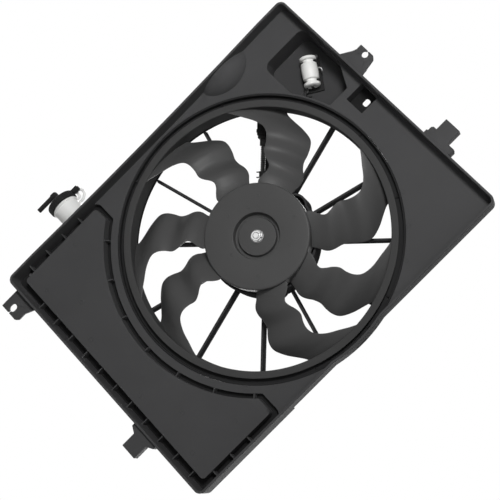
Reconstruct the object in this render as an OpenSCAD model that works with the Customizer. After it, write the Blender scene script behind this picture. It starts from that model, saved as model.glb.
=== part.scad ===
/* [Shroud] */
// Distance from the ring groove to the rim's left edge, seen from the radiator
border_left = 87; // [80:1:100]
// Distance from the ring groove to the rim's right edge
border_right = 51; // [44:1:60]
// Distance from the ring groove to the rim's top edge
border_top = 11; // [9:0.5:18]
// Distance from the ring groove to the rim's bottom edge
border_bottom = 2; // [1:0.5:8]
// Thickness of the rim wall
rim_wall = 3; // [2.5:0.1:4]
// Thickness of the moulding away from the rim
wall = 2.5; // [2:0.1:3]
// Outer corner radius of the rim
corner_r = 9; // [6:1:14]
// Depth of the flat panel behind the rim face
panel_y = 22; // [18:1:26]
// How far the middle of the top edge dips
top_dip = 2.5; // [1:0.5:4]
// How far the bottom edge swells past the ring groove
belly_out = 6.5; // [5:0.5:9]

/* [Shroud barrel] */
// Inner radius of the barrel round the fan
barrel_r = 176.5; // [175:0.5:178]
// Width of the ring groove outside the barrel
groove_w = 9.5; // [8:0.5:12]
// Room behind the band's flange, down to the ring groove's floor
groove_room = 6.5; // [5:0.5:9]

/* [Shroud left cover] */
// Depth of the raised cover's face
cover_y = 13; // [10:1:16]
// Distance of the cover from the rim's outer edges
cover_margin = 14; // [11:1:18]
// Distance from the ring groove to the cover's edge along the fan
cover_gap = 19; // [17:0.5:24]
// Width of the channel between the cover and the panel
channel_w = 6.5; // [5:0.5:8]
// Depth of the channel's floor
channel_y = 30; // [28:1:34]
// Distance between gussets along the straight channel
gusset_pitch = 30; // [24:1:40]

/* [Shroud pocket and window] */
// Depth of the resistor pocket's floor
pocket_y = 60; // [50:1:64]
// Width of the resistor pocket
pocket_w = 71; // [66:1:74]
// Height of the resistor pocket
pocket_h = 102; // [96:1:108]
// Width of the window recess below the pocket
window_w = 28; // [22:1:32]
// Height of the window recess
window_h = 28; // [22:1:30]
// Depth of the window recess's floor
window_y = 40; // [34:1:48]

/* [Shroud tabs] */
// Thickness of the bolt tabs
tab_t = 4; // [3:0.5:6]
// Reach of the bolt tabs past the rim
tab_reach = 30; // [27:1:36]
// Radius of the round bolt hole
bolt_hole_r = 4.35; // [3.2:0.05:4.6]
// Extra length of the oblong bolt hole
slot_extra = 2.5; // [0:0.5:4]
// Reach of the lower feet past the rim
foot_reach = 31; // [26:1:36]

/* [Fan] */
// Outer radius of the fan hub
hub_r = 69.5; // [66:0.5:70]
// Depth of the hub's front face
hub_y = 15; // [13:1:17]
// Length of the hub along the axis
hub_len = 22; // [20:0.5:23]
// Gap between the outer band and the barrel
tip_gap = 3; // [2:0.5:4]
// Thickness of the outer band that joins the blade tips
band_t = 3; // [2:0.5:3.5]
// Width of the band's front flange
flange_w = 9.5; // [8:0.5:11]
// Depth of the band's front face
band_y = 21; // [19:1:23]
// Length of the band along the axis
band_len = 26; // [22:1:30]
// Thickness of a blade in its middle
blade_t = 2.6; // [2:0.1:3.4]
// Depth of the waves across a blade
blade_wave = 1.6; // [0:0.2:2.4]
// Depth of a blade's curve along its chord
blade_camber = 3; // [1:0.5:4]

/* [Motor] */
// Outer radius of the motor can
can_r = 44; // [40:0.5:44.5]
// Depth of the motor can's front
can_y = 32; // [31:0.5:34]
// Length of the motor can
can_len = 60; // [56:1:70]
// Wall of the motor can
can_t = 1.7; // [1.2:0.1:2]
// Radius of the motor shaft
shaft_r = 4; // [3:0.5:5]
// Thickness of the magnets
magnet_t = 7.3; // [5:0.1:9]
// Distance of the motor screws from the can
ear_out = 16; // [14:0.5:18]
// Radius of the motor screws
motor_screw_r = 2.4; // [2:0.1:3]

/* [Motor carrier] */
// Gap between the fan and the carrier ribs
rib_gap = 11; // [8:1:15]
// Height of a carrier rib along the axis
rib_h = 14; // [11:1:18]
// Width of a carrier rib
rib_w = 2.8; // [2:0.2:4]
// Number of carrier ribs
rib_count = 12; // [8:4:16]
// Distance of the carrier cup's outside from the motor screws
cup_out = 13.3; // [12:0.1:15]

/* [Motor lead] */
// Radius of the corrugated conduit
conduit_r = 3.4; // [3:0.1:4]
// Distance from the barrel to the conduit's outer end
conduit_short = 38.5; // [30:0.5:44]

/* [Resistor] */
// Length of the ceramic resistor
resistor_len = 41; // [36:1:50]
// Radius of the ceramic resistor's end caps
resistor_r = 11; // [9:0.5:12.5]
// Lean of the resistor from level
resistor_lean = 56; // [45:1:75]

/* [Coolant reservoir] */
// Depth of the tank from front to back
tank_depth = 50; // [40:1:60]
// Height of the tank's floor below the fan axis
tank_drop = 60; // [40:5:80]
// Wall of the tank
tank_wall = 2; // [1.6:0.1:2.6]
// Outer radius of the filler neck
neck_r = 18.4; // [16:0.2:20]
// Height of the cap's seat above the tank
neck_rise = 57; // [48:1:66]
// Wall of the cap's skirt
cap_wall = 2.1; // [1.6:0.1:3]

/* [Hidden] */
$fn = 96;
fine_fn = 1440;
eps = 0.01;
cut = 2;
seam = 0.1;
snug = 0.05;
run_fit = 0.03;
body_gap = 0.3;

// Everything round the fan follows the barrel
groove_r = barrel_r + groove_w;
band_r = barrel_r - tip_gap - band_t;
flange_r = band_r + flange_w;
hub_back = hub_y + hub_len;
groove_y = band_y + wall + groove_room;
rib_y = band_y + band_len + rib_gap;
rib_back = rib_y + rib_h;
rib_past_barrel = 4;
barrel_back = rib_back - rib_past_barrel;
belly_r = groove_r + belly_out;

// Rim edges in the frame of the fan axis
left = -groove_r - border_left;
right = groove_r + border_right;
top = groove_r + border_top;
bottom = -groove_r - border_bottom;
rim_w = right - left;
rim_h = top - bottom;
panel_back = panel_y + wall;
groove_back = groove_y + wall;
channel_back = channel_y + wall;
middle_x = (left + right) / 2;
dip_share = 0.41;
dip_half = rim_w * dip_share;
dip_r = (dip_half * dip_half + top_dip * top_dip) / (2 * top_dip);

// Solids that lie along the fan axis, with depth as +Y
module along_y(front, back) {
    translate([0, back, 0]) rotate([90, 0, 0]) linear_extrude(back - front) children();
}

module about_y() {
    rotate([-90, 0, 0]) rotate_extrude() children();
}

module disc_y(r, front, back) {
    translate([0, front, 0]) rotate([-90, 0, 0]) cylinder(r = r, h = back - front);
}

module ring_y(inner, outer, front, back) {
    difference() {
        disc_y(outer, front, back);
        disc_y(inner, front - cut, back + cut);
    }
}

// Turns a piece round the fan axis, counter-clockwise seen from the radiator
module at_angle(a) {
    rotate([0, -a, 0]) children();
}

module round_rect(w, h, r) {
    translate([r, 0]) square([w - 2 * r, h]);
    translate([0, r]) square([w, h - 2 * r]);
    for (x = [r, w - r], y = [r, h - r]) translate([x, y]) circle(r = r);
}

// Outline of the shroud's rim, moved inwards by inset
module rim_outline(inset) {
    difference() {
        translate([left + inset, bottom + inset])
            round_rect(rim_w - 2 * inset, rim_h - 2 * inset, corner_r - inset);
        translate([middle_x, top - top_dip + dip_r]) circle(r = dip_r + inset, $fn = fine_fn);
    }
    circle(r = belly_r - inset);
}

module rim_band(depth) {
    along_y(0, depth) difference() {
        rim_outline(0);
        rim_outline(rim_wall);
    }
}

// Outline of the raised left cover
cover_arc_r = groove_r + cover_gap;
cover_edge_shares = [0.612, 0.678];
cover_top_right = -cover_arc_r * cover_edge_shares[0];
cover_low_right = -cover_arc_r * cover_edge_shares[1];
cover_corner_r = 5;

module cover_outline(grow) {
    l = left + cover_margin - grow;
    b = bottom + cover_margin - grow;
    t = top - cover_margin + grow;
    r = cover_corner_r;
    difference() {
        union() {
            translate([l, -r]) round_rect(cover_top_right + grow - l, t + r, r);
            translate([l, b]) round_rect(cover_low_right + grow - l, r - b, r);
        }
        circle(r = cover_arc_r - grow);
    }
}

// Outline of the channel's outer side, which runs into the rim
module channel_outline(side) {
    r = cover_corner_r + side;
    l = left - 2 * r;
    t = top - rim_wall + seam;
    b = bottom + rim_wall - seam;
    intersection() {
        rim_outline(rim_wall - seam);
        difference() {
            union() {
                translate([l, -r]) round_rect(cover_top_right + side - l, t + r, r);
                translate([l, b]) round_rect(cover_low_right + side - l, r - b, r);
            }
            circle(r = cover_arc_r - side);
        }
    }
}

gusset_t = 1.5;
gusset_down = 3;
gusset_y = cover_y + gusset_down;
arc_gusset_step = 15;
arc_gusset_first = 135.5;
arc_gusset_last = 226;

module gusset_lines() {
    for (z = [bottom + gusset_pitch : gusset_pitch : top - gusset_pitch])
        translate([left, z]) square([cover_margin + wall, gusset_t]);
    for (x = [left + gusset_pitch : gusset_pitch : cover_top_right - gusset_pitch / 2])
        translate([x, top - cover_margin - wall]) square([gusset_t, cover_margin + wall]);
    for (x = [left + gusset_pitch : gusset_pitch : cover_low_right - gusset_pitch / 2])
        translate([x, bottom]) square([gusset_t, cover_margin + wall]);
    for (a = [arc_gusset_first : arc_gusset_step : arc_gusset_last])
        rotate(a) translate([cover_arc_r - channel_w - seam, -gusset_t / 2])
            square([channel_w + wall, gusset_t]);
}

module left_cover() {
    along_y(cover_y, cover_y + wall) cover_outline(0);
    along_y(cover_y, channel_back) difference() {
        cover_outline(0);
        cover_outline(-wall);
    }
    along_y(channel_y, channel_back) difference() {
        channel_outline(channel_w + wall);
        cover_outline(-wall);
    }
    along_y(panel_y, channel_back) difference() {
        channel_outline(channel_w + wall);
        channel_outline(channel_w);
    }
    along_y(gusset_y, channel_back) intersection() {
        difference() {
            channel_outline(channel_w + wall);
            cover_outline(-wall);
        }
        gusset_lines();
    }
}

// Section of the barrel with its groove and lip: radius across, depth up
lip_t = 1.6;
lip_share = 0.6;
lip_y = groove_y - groove_room * lip_share;

module barrel() {
    about_y() polygon([
        [barrel_r, lip_y], [barrel_r + lip_t, lip_y], [barrel_r + lip_t, groove_y],
        [groove_r, groove_y], [groove_r, panel_y], [groove_r + wall, panel_y],
        [groove_r + wall, groove_back], [barrel_r + wall, groove_back],
        [barrel_r + wall, barrel_back], [barrel_r, barrel_back]]);
}

// Resistor pocket, in the upper right corner
pocket_right = right - rim_wall - wall - body_gap;
pocket_down = 40;
pocket_top = top - pocket_down;
pocket_corner_r = 11;
pocket_chamfer = [17, 32];
pocket_arc_r = groove_r + 2 * wall + seam;

module pocket_outline(grow) {
    l = pocket_right - pocket_w - grow;
    b = pocket_top - pocket_h - grow;
    difference() {
        translate([l, b]) round_rect(pocket_w + 2 * grow, pocket_h + 2 * grow, pocket_corner_r);
        circle(r = pocket_arc_r - grow);
        polygon([
            [pocket_right + grow - pocket_chamfer.x, b],
            [pocket_right + grow, b + pocket_chamfer.y],
            [pocket_right + grow + cut, b + pocket_chamfer.y],
            [pocket_right + grow + cut, b - cut],
            [pocket_right + grow - pocket_chamfer.x, b - cut]]);
    }
}

module pocket() {
    along_y(panel_y, pocket_y + wall) difference() {
        pocket_outline(wall);
        pocket_outline(0);
    }
    along_y(pocket_y, pocket_y + wall) pocket_outline(wall);
}

// Window recess with a slot through its floor
window_right = right - rim_wall - wall;
window_top = pocket_top - pocket_h - 4 * wall;
window_slot = [10, 7.5];
window_slot_r = 2.6;
window_slot_at = [7.5, 7.6];

module window_outline(grow) {
    translate([window_right - window_w - grow, window_top - window_h - grow])
        square([window_w + 2 * grow, window_h + 2 * grow]);
}

module window_recess() {
    along_y(panel_y, window_y + wall) difference() {
        window_outline(wall);
        window_outline(0);
    }
    along_y(window_y, window_y + wall) difference() {
        window_outline(wall);
        translate([window_right - window_slot_at.x - window_slot.x,
            window_top - window_h + window_slot_at.y])
            round_rect(window_slot.x, window_slot.y, window_slot_r);
    }
}

// Spindle-shaped swelling under the top edge
bulge_x_share = 0.637;
bulge_x = groove_r * bulge_x_share;
bulge_behind = 6;
bulge_down = 7;
bulge_r = 24.2;
bulge_half = 41;

module spindle(r) {
    arc = (bulge_half * bulge_half + r * r) / (2 * r);
    translate([bulge_x, panel_y + bulge_behind, top - bulge_down]) rotate([0, 90, 0]) rotate_extrude()
        intersection() {
            translate([0, -bulge_half]) square([r + cut, 2 * bulge_half]);
            translate([r - arc, 0]) circle(r = arc);
        }
}

module bulge() {
    intersection() {
        difference() {
            spindle(bulge_r);
            spindle(bulge_r - wall);
        }
        along_y(0 + eps, panel_back) rim_outline(rim_wall - seam);
    }
}

// Bolt tabs: the left one has an oblong hole, the right one a round hole, both slit open
tab_y = 9;
tab_root = 2;
slit_w = 1.8;
left_tab_below_top = 30.5;
left_tab_z = top - left_tab_below_top;
left_tab_up = 13.5;
left_tab_down = 17.5;
left_tab_flare = 7;
left_hole_in = 21;
right_tab_below_top = 132;
right_tab_z = top - right_tab_below_top;
right_tab_up = 13;
right_tab_down = 13;
right_tab_flare = 12;
right_hole_in = 22;
tab_chamfer = 4;

module left_tab() {
    x0 = left - tab_reach;
    x1 = left + tab_root;
    difference() {
        along_y(tab_y, tab_y + tab_t) polygon([
            [x0, left_tab_z + left_tab_up], [x0, left_tab_z - left_tab_down + tab_chamfer],
            [x0 + tab_chamfer, left_tab_z - left_tab_down],
            [left - tab_reach / 2, left_tab_z - left_tab_down],
            [left, left_tab_z - left_tab_down - left_tab_flare],
            [x1, left_tab_z - left_tab_down - left_tab_flare], [x1, left_tab_z + left_tab_up]]);
        for (s = [-slot_extra / 2, slot_extra / 2])
            translate([left - left_hole_in + s, 0, left_tab_z])
                disc_y(bolt_hole_r, tab_y - cut, tab_y + tab_t + cut);
        translate([left - left_hole_in - slot_extra / 2, tab_y - cut, left_tab_z - bolt_hole_r])
            cube([slot_extra, tab_t + 2 * cut, 2 * bolt_hole_r]);
        translate([x0 - cut, tab_y - cut, left_tab_z - slit_w / 2])
            cube([tab_reach - left_hole_in + cut, tab_t + 2 * cut, slit_w]);
    }
    for (z = [left_tab_z + left_tab_up - wall, left_tab_z - left_tab_down])
        translate([left - tab_reach / 3, tab_y, z]) cube([tab_reach / 3 + tab_root, panel_y - tab_y, wall]);
}

module right_tab() {
    x0 = right - tab_root;
    x1 = right + tab_reach - tab_root;
    difference() {
        along_y(tab_y, tab_y + tab_t) polygon([
            [x0, right_tab_z + right_tab_up + right_tab_flare],
            [right, right_tab_z + right_tab_up + right_tab_flare],
            [right + tab_reach / 2, right_tab_z + right_tab_up + tab_chamfer / 2],
            [right + 2 * tab_reach / 3, right_tab_z + right_tab_up],
            [x1, right_tab_z + right_tab_up], [x1, right_tab_z - right_tab_down + tab_chamfer],
            [x1 - tab_chamfer, right_tab_z - right_tab_down],
            [right, right_tab_z - right_tab_down - right_tab_flare / 3],
            [x0, right_tab_z - right_tab_down - right_tab_flare / 3]]);
        translate([right + right_hole_in, 0, right_tab_z])
            disc_y(bolt_hole_r, tab_y - cut, tab_y + tab_t + cut);
        translate([right + right_hole_in, tab_y - cut, right_tab_z - slit_w / 2])
            cube([tab_reach, tab_t + 2 * cut, slit_w]);
    }
    for (z = [right_tab_z + right_tab_up, right_tab_z - right_tab_down])
        translate([right - tab_root, tab_y, z]) cube([tab_reach / 3 + tab_root, panel_y - tab_y, wall]);
}

// Lower feet: a flared root and a hollow tongue that stands in the radiator's bracket
foot_y = 5;
foot_depth = 13;
foot_tongue_h = 23;
foot_root_h = 41;
foot_root = 10;
foot_up = 105;
foot_z = bottom + foot_up;

module foot(side) {
    edge = side < 0 ? left : right;
    translate([edge, 0, foot_z]) scale([side, 1, 1]) {
        difference() {
            translate([foot_root - tab_root, foot_y, -foot_tongue_h / 2])
                cube([foot_reach - foot_root + tab_root, foot_depth, foot_tongue_h]);
            translate([foot_root - cut, foot_y + wall, wall - foot_tongue_h / 2])
                cube([foot_reach - foot_root + cut - wall, foot_depth, foot_tongue_h - 2 * wall]);
        }
        along_y(foot_y, foot_y + wall) polygon([
            [-tab_root, foot_root_h / 2], [foot_root / 2, foot_root_h / 2],
            [foot_root, foot_tongue_h / 2], [foot_root, -foot_tongue_h / 2],
            [foot_root / 2, -foot_root_h / 2], [-tab_root, -foot_root_h / 2]]);
        for (z = [foot_root_h / 2 - wall, -foot_root_h / 2])
            translate([-tab_root, foot_y, z]) cube([tab_root + foot_root / 2, foot_depth, wall]);
    }
}

// Stiffening ribs behind the panel and drain slots at the bottom of the groove
back_rib_angles = [0, 62, 110, 250, 290, 330];
back_rib_out = 10;
back_rib_r = groove_r + back_rib_out;
drain = [7, 3];
drain_x = [-27, 19];
belly_slot = [17, 5];

module back_ribs() {
    for (a = back_rib_angles) at_angle(a) translate([0, 0, -gusset_t / 2])
        linear_extrude(gusset_t) polygon([
            [barrel_r + wall - seam, groove_back - wall], [groove_r + wall, panel_back + seam],
            [back_rib_r, panel_back + seam], [back_rib_r, groove_y],
            [barrel_r + wall - seam, barrel_back - wall]]);
}

module fan_barrel() color([0.18, 0.18, 0.19]) {
    difference() {
        barrel();
        for (x = drain_x) translate([x - drain.x / 2, groove_y - cut, -groove_r + drain.y / 2])
            cube([drain.x, wall + 2 * cut, drain.y]);
    }
    back_ribs();
}

module shroud() color([0.20, 0.20, 0.21]) {
    difference() {
        union() {
            rim_band(panel_back);
            intersection() {
                rim_band(channel_back);
                translate([left - cut, 0, bottom - cut])
                    cube([cover_top_right + channel_w + wall - left + cut, channel_back, rim_h + 2 * cut]);
            }
            difference() {
                along_y(panel_y, panel_back) difference() {
                    rim_outline(rim_wall - seam);
                    circle(r = groove_r + wall + seam);
                    channel_outline(channel_w + wall / 2);
                    pocket_outline(wall / 2);
                    window_outline(wall / 2);
                }
                spindle(bulge_r - wall / 2);
            }
            bulge();
        }
        translate([-belly_slot.x / 2, panel_y - belly_slot.y, -belly_r - cut])
            cube([belly_slot.x, belly_slot.y, rim_wall + 2 * cut]);
    }
    difference() {
        left_cover();
        for (p = tank_lugs) lug_centre(p) disc_y(lug_hole_r, channel_y - cut, tank_y);
    }
    tank_bosses();
    pocket();
    window_recess();
    left_tab();
    right_tab();
    foot(-1);
    foot(1);
}

// Carrier: ribs from the barrel to a cup round the motor, with three screw bosses in its lobes
ear_angles = [0, 120, 240];
ear_behind_hub = 5;
ear_y = hub_back + ear_behind_hub;
ear_t = 2.5;
ear_r = can_r + ear_out;
boss_r = 9;
cup_t = 3;
cup_r = ear_r + cup_out;
cup_behind_hub = 3;
cup_y = hub_back + cup_behind_hub;
cup_gap = 3;
cup_inner_r = can_r + cup_gap;
lobe_r = 17;
rib_flange_w = 4.6;
rib_flange_t = 2;
lead_angle = 45;
lead_off = rib_w / 2 + 2 * body_gap + conduit_r;
lead_y = rib_y + conduit_r;

module carrier_rib() {
    translate([cup_r - wall, rib_y, -rib_w / 2]) cube([barrel_r, rib_back - rib_y, rib_w]);
    translate([cup_r - wall, rib_back - rib_flange_t, -rib_flange_w / 2])
        cube([barrel_r, rib_flange_t, rib_flange_w]);
}

module motor_carrier() color([0.18, 0.18, 0.19]) {
    difference() {
        union() {
            intersection() {
                for (k = [0 : rib_count - 1]) at_angle((k + 0.5) * 360 / rib_count) carrier_rib();
                disc_y(barrel_r - seam, rib_y - cut, rib_back + cut);
            }
            along_y(cup_y, rib_back) difference() {
                cup_outline(0);
                cup_outline(cup_t);
            }
            ring_y(cup_inner_r, cup_inner_r + wall, rib_y - wall, rib_back);
            along_y(rib_back - wall, rib_back) cup_outline(cup_t / 2);
            for (k = [0 : rib_count - 1]) at_angle((k + 0.5) * 360 / rib_count)
                translate([cup_inner_r + wall - seam, rib_y, -rib_w / 2])
                    cube([cup_r - cup_t - cup_inner_r - wall + 2 * seam, rib_back - rib_y, rib_w]);
            for (a = ear_angles) at_angle(a) translate([ear_r, 0, 0])
                disc_y(boss_r, ear_y + ear_t, rib_back - seam);
        }
        disc_y(cup_inner_r, cup_y - cut, rib_back + cut);
        for (a = ear_angles) at_angle(a) translate([ear_r, 0, 0])
            disc_y(motor_screw_r + snug, ear_y, ear_y + screw_len + cut);
        at_angle(lead_angle) translate([cup_inner_r - cut, lead_y - lead_room, lead_off - lead_room])
            cube([cup_r, 2 * lead_room, 2 * lead_room]);
    }
}

lead_room = conduit_r + body_gap;

// Outline of the cup with a lobe round each motor screw
module cup_outline(shrink) {
    circle(r = cup_r - shrink);
    for (a = ear_angles) rotate(a) translate([ear_r, 0]) circle(r = lobe_r - shrink);
}

// Blade: rows of span share, middle angle, angular width, rear depth share, front depth share
blade_shares = [
    [0.00, -1.5, 36.3, 0.00, 0.00],
    [0.05, -1.6, 35.8, 0.05, -0.05],
    [0.11, -3.4, 32.6, 0.14, -0.06],
    [0.17, -5.6, 29.3, 0.27, -0.02],
    [0.23, -6.0, 27.3, 0.39, 0.03],
    [0.29, -4.2, 26.8, 0.48, 0.10],
    [0.36, -1.2, 26.2, 0.57, 0.19],
    [0.44, 0.5, 25.6, 0.66, 0.30],
    [0.54, 0.1, 24.5, 0.75, 0.39],
    [0.64, 0.5, 23.9, 0.82, 0.48],
    [0.73, 2.5, 23.6, 0.88, 0.57],
    [0.81, 7.3, 23.1, 0.92, 0.71],
    [0.88, 12.9, 23.4, 0.96, 0.85],
    [0.94, 16.6, 23.7, 0.98, 0.96],
    [1.00, 19.4, 25.7, 1.00, 1.00]];
blade_in_hub = [4.6, 2.6];
blade_in_band = [1.6, 2];
blade_root_front = hub_y + blade_in_hub[0];
blade_root_rear = hub_back - blade_in_hub[1];
blade_tip_front = band_y + blade_in_band[0];
blade_tip_rear = band_y + band_len - blade_in_band[1];
blade_root_r = hub_r - wall / 2;
blade_tip_r = band_r + band_t / 2;
blade_spans = 20;
blade_chords = 6;
blade_edge_share = 0.45;
blade_waves = 2.7;

function row_at(s, i = 0) = (i >= len(blade_shares) - 2 || s <= blade_shares[i + 1][0]) ? i : row_at(s, i + 1);
function row_slope(i, c) =
    let (a = max(i - 1, 0), b = min(i + 1, len(blade_shares) - 1))
    (blade_shares[b][c] - blade_shares[a][c]) / (blade_shares[b][0] - blade_shares[a][0]);
function blade_curve(s, c) =
    let (i = row_at(s), h = blade_shares[i + 1][0] - blade_shares[i][0], t = (s - blade_shares[i][0]) / h)
    blade_shares[i][c] * (1 + 2 * t) * (1 - t) * (1 - t) + row_slope(i, c) * h * t * (1 - t) * (1 - t)
    + blade_shares[i + 1][c] * t * t * (3 - 2 * t) + row_slope(i + 1, c) * h * t * t * (t - 1);
function blade_point(s, u, side) =
    let (
        r = blade_root_r + s * (blade_tip_r - blade_root_r),
        a = blade_curve(s, 1) + (u - 0.5) * blade_curve(s, 2),
        bow = 4 * u * (1 - u),
        rear = blade_root_rear + blade_curve(s, 3) * (blade_tip_rear - blade_root_rear),
        front = blade_root_front + blade_curve(s, 4) * (blade_tip_front - blade_root_front),
        y = rear + u * (front - rear) - blade_camber * bow
            + blade_wave * sin(360 * blade_waves * s) * sin(180 * s),
        t = blade_t * (blade_edge_share + (1 - blade_edge_share) * bow)
    ) [r * cos(a), y + side * t / 2, r * sin(a)];

module blade() {
    n = blade_spans;
    m = blade_chords;
    w = m + 1;
    total = (n + 1) * w;
    points = [for (side = [-1, 1], i = [0 : n], j = [0 : m]) blade_point(i / n, j / m, side)];
    skins = [for (i = [0 : n - 1], j = [0 : m - 1])
        let (a = i * w + j, b = a + 1, c = a + w + 1, d = a + w)
        each [[a, b, c], [a, c, d], [total + a, total + d, total + c], [total + a, total + c, total + b]]];
    edges = [for (i = [0 : n - 1])
        let (a = i * w, d = a + w, e = a + m, f = d + m)
        each [[a, d, total + d], [a, total + d, total + a], [e, total + e, total + f], [e, total + f, f]]];
    ends = [for (j = [0 : m - 1])
        let (a = j, b = j + 1, c = n * w + j, d = c + 1)
        each [[a, total + a, total + b], [a, total + b, b], [c, total + d, total + c], [c, d, total + d]]];
    polyhedron(points = points, faces = concat(skins, edges, ends), convexity = 6);
}

// Unequal blade angles; the last two are worked out so that all seven balance
set_angles = [29.9, 76.9, 130.2, 167.4, 242.2];
sum_x = sum_of([for (a = set_angles) cos(a)]);
sum_z = sum_of([for (a = set_angles) sin(a)]);
function sum_of(v, i = 0) = i >= len(v) ? 0 : v[i] + sum_of(v, i + 1);
rest_angle = atan2(-sum_z, -sum_x);
rest_half = acos(sqrt(sum_x * sum_x + sum_z * sum_z) / 2);
blade_angles = concat(set_angles, [rest_angle - rest_half, rest_angle + rest_half]);

hub_edge_r = 3;
recess_r = 30.5;
recess_inner_r = 26;
recess_depth = 4;
recess_y = hub_y + recess_depth;
bush_r = 7.5;
bush_short = 2;
bush_back = can_y - bush_short;
hub_boss_r = 12;
hub_rib_t = 2;
hub_ribs = 8;

module hub_shell() {
    inner = hub_r - wall;
    about_y() difference() {
        union() {
            translate([0, hub_y]) square([hub_r - hub_edge_r, hub_back - hub_y]);
            translate([0, hub_y + hub_edge_r]) square([hub_r, hub_back - hub_y - hub_edge_r]);
            translate([hub_r - hub_edge_r, hub_y + hub_edge_r]) circle(r = hub_edge_r);
        }
        polygon([[-cut, hub_y - cut], [recess_r, hub_y - cut], [recess_r, hub_y],
            [recess_inner_r, recess_y], [-cut, recess_y]]);
        polygon([[-cut, recess_y + wall], [recess_r - wall, recess_y + wall],
            [recess_r + wall, hub_y + wall], [inner, hub_y + wall], [inner, hub_back + cut],
            [-cut, hub_back + cut]]);
    }
}

module fan() color([0.24, 0.24, 0.25]) {
    difference() {
        union() {
            hub_shell();
            disc_y(hub_boss_r, recess_y, bush_back);
            for (k = [0 : hub_ribs - 1]) at_angle(k * 360 / hub_ribs)
                translate([hub_boss_r - seam, recess_y + wall - seam, -hub_rib_t / 2])
                    cube([hub_r - hub_boss_r - wall + 2 * seam, bush_back - recess_y - wall, hub_rib_t]);
            for (a = blade_angles) at_angle(a) blade();
            about_y() polygon([
                [band_r, band_y], [flange_r, band_y], [flange_r, band_y + wall],
                [band_r + band_t, band_y + 2 * wall], [band_r + band_t, band_y + band_len],
                [band_r, band_y + band_len]]);
        }
        disc_y(bush_r, recess_y - cut, bush_back + cut);
    }
}

washer_r = 8.8;
washer_t = 1.2;
nut_r = 7;
nut_flange_r = 8;
nut_t = 5;
nut_flange_t = 1.4;
nut_y = recess_y - washer_t - nut_t;
shaft_past_nut = 1.5;
shaft_front = nut_y - shaft_past_nut;

module hub_bush() color([0.62, 0.60, 0.55]) {
    ring_y(shaft_r + run_fit, bush_r - snug, recess_y, bush_back);
}

module fan_washer() color([0.75, 0.76, 0.78]) {
    ring_y(shaft_r + run_fit, washer_r, recess_y - washer_t, recess_y);
}

module fan_nut() color([0.82, 0.83, 0.85]) {
    difference() {
        union() {
            translate([0, nut_y, 0]) rotate([-90, 0, 0]) cylinder(r = nut_r, h = nut_t, $fn = 6);
            disc_y(nut_flange_r, nut_y + nut_t - nut_flange_t, nut_y + nut_t);
        }
        disc_y(shaft_r + run_fit, nut_y - cut, nut_y + nut_t + cut);
    }
}

// Motor, laid out from front to back
can_back = can_y + can_len;
seat_lip = 1;
bearing_r = 8;
bearing_len = 7;
bearing_seat_r = 10.5;
seat_front = can_y + can_t;
air_gap = 1;
core_r = can_r - can_t - magnet_t - air_gap;
windings_at = 5;
windings_over = 7;
windings_front_y = can_y + windings_at;
core_front = windings_front_y + windings_over;
commutator_gap = 1;
commutator_len = 9.5;
commutator_r = 11;
cap_room = 2.5;
core_back = can_back - cap_room - commutator_len - commutator_gap - windings_over;
windings_inner_r = 13;
windings_in = 3;
windings_r = core_r - windings_in;
windings_back_y = core_back + windings_over;
commutator_y = windings_back_y + commutator_gap;
magnet_arc = 72;
magnet_count = 4;
magnet_over = 1;
cap_t = 2;
end_boss_r = 13;
end_boss_h = 9;
end_boss_back = can_back + end_boss_h;
rear_bearing_in = 0.5;
rear_bearing_y = can_back + rear_bearing_in;
shaft_in = 1;
shaft_back = rear_bearing_y + bearing_len - shaft_in;
slot_count = 12;
slot_depth = 12;
slot_w = 4.4;
slot_mouth_w = 1.8;
tooth_t = 2.5;
plate_in = 1;
plate_y = commutator_y + commutator_len - plate_in;
plate_t = 1.8;
plate_clear = 1.5;
brush_h = 6;
brush_d = 6.5;
brush_len = 10.7;
brush_box_t = 1.2;
brush_out = 2;
brush_box_over = 1;
brush_r0 = commutator_r + body_gap;
brush_r1 = brush_r0 + brush_len;
spring_r = 2.2;
spring_len = 9;
spring_end = brush_r1 + spring_len;

module motor_can() color([0.30, 0.31, 0.32]) {
    difference() {
        union() {
            disc_y(can_r, can_y, can_back);
            disc_y(bearing_seat_r, can_y - seat_lip, can_y + can_t);
        }
        disc_y(can_r - can_t, can_y + can_t, can_back + cut);
        disc_y(shaft_r + air_gap, can_y - cut, can_y + can_t + cut);
        at_angle(lead_angle) translate([can_r - 3 * can_t, lead_y, lead_off]) rotate([0, 90, 0])
            cylinder(r = conduit_r - wall / 2, h = 5 * can_t);
    }
    ring_y(bearing_r + snug, bearing_seat_r, can_y + can_t - seam, seat_front + bearing_len);
}

flange_out = 8;

module motor_flange() color([0.30, 0.31, 0.32]) {
    difference() {
        union() {
            disc_y(can_r + flange_out, ear_y, ear_y + ear_t);
            for (a = ear_angles) at_angle(a) {
                translate([ear_r, 0, 0]) disc_y(boss_r, ear_y, ear_y + ear_t);
                translate([0, ear_y, -boss_r]) cube([ear_r, ear_t, 2 * boss_r]);
            }
        }
        disc_y(can_r + snug, ear_y - cut, ear_y + ear_t + cut);
        for (a = ear_angles) at_angle(a) translate([ear_r, 0, 0])
            disc_y(motor_screw_r + snug, ear_y - cut, ear_y + ear_t + cut);
    }
}

module motor_end_cap() color([0.52, 0.53, 0.55]) {
    difference() {
        union() {
            disc_y(can_r, can_back, can_back + cap_t);
            disc_y(end_boss_r, can_back, end_boss_back);
            for (a = end_screw_angles) at_angle(a) translate([end_screw_at, 0, 0])
                disc_y(end_screw_head_r + wall / 2, can_back, can_back + cap_t + wall / 2);
        }
        disc_y(bearing_r + snug, can_back - cut, rear_bearing_y + bearing_len + snug);
        for (a = end_screw_angles) at_angle(a) translate([end_screw_at, 0, 0])
            disc_y(end_screw_r + snug, can_back - cut, can_back + cap_t + wall + cut);
    }
}

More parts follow.
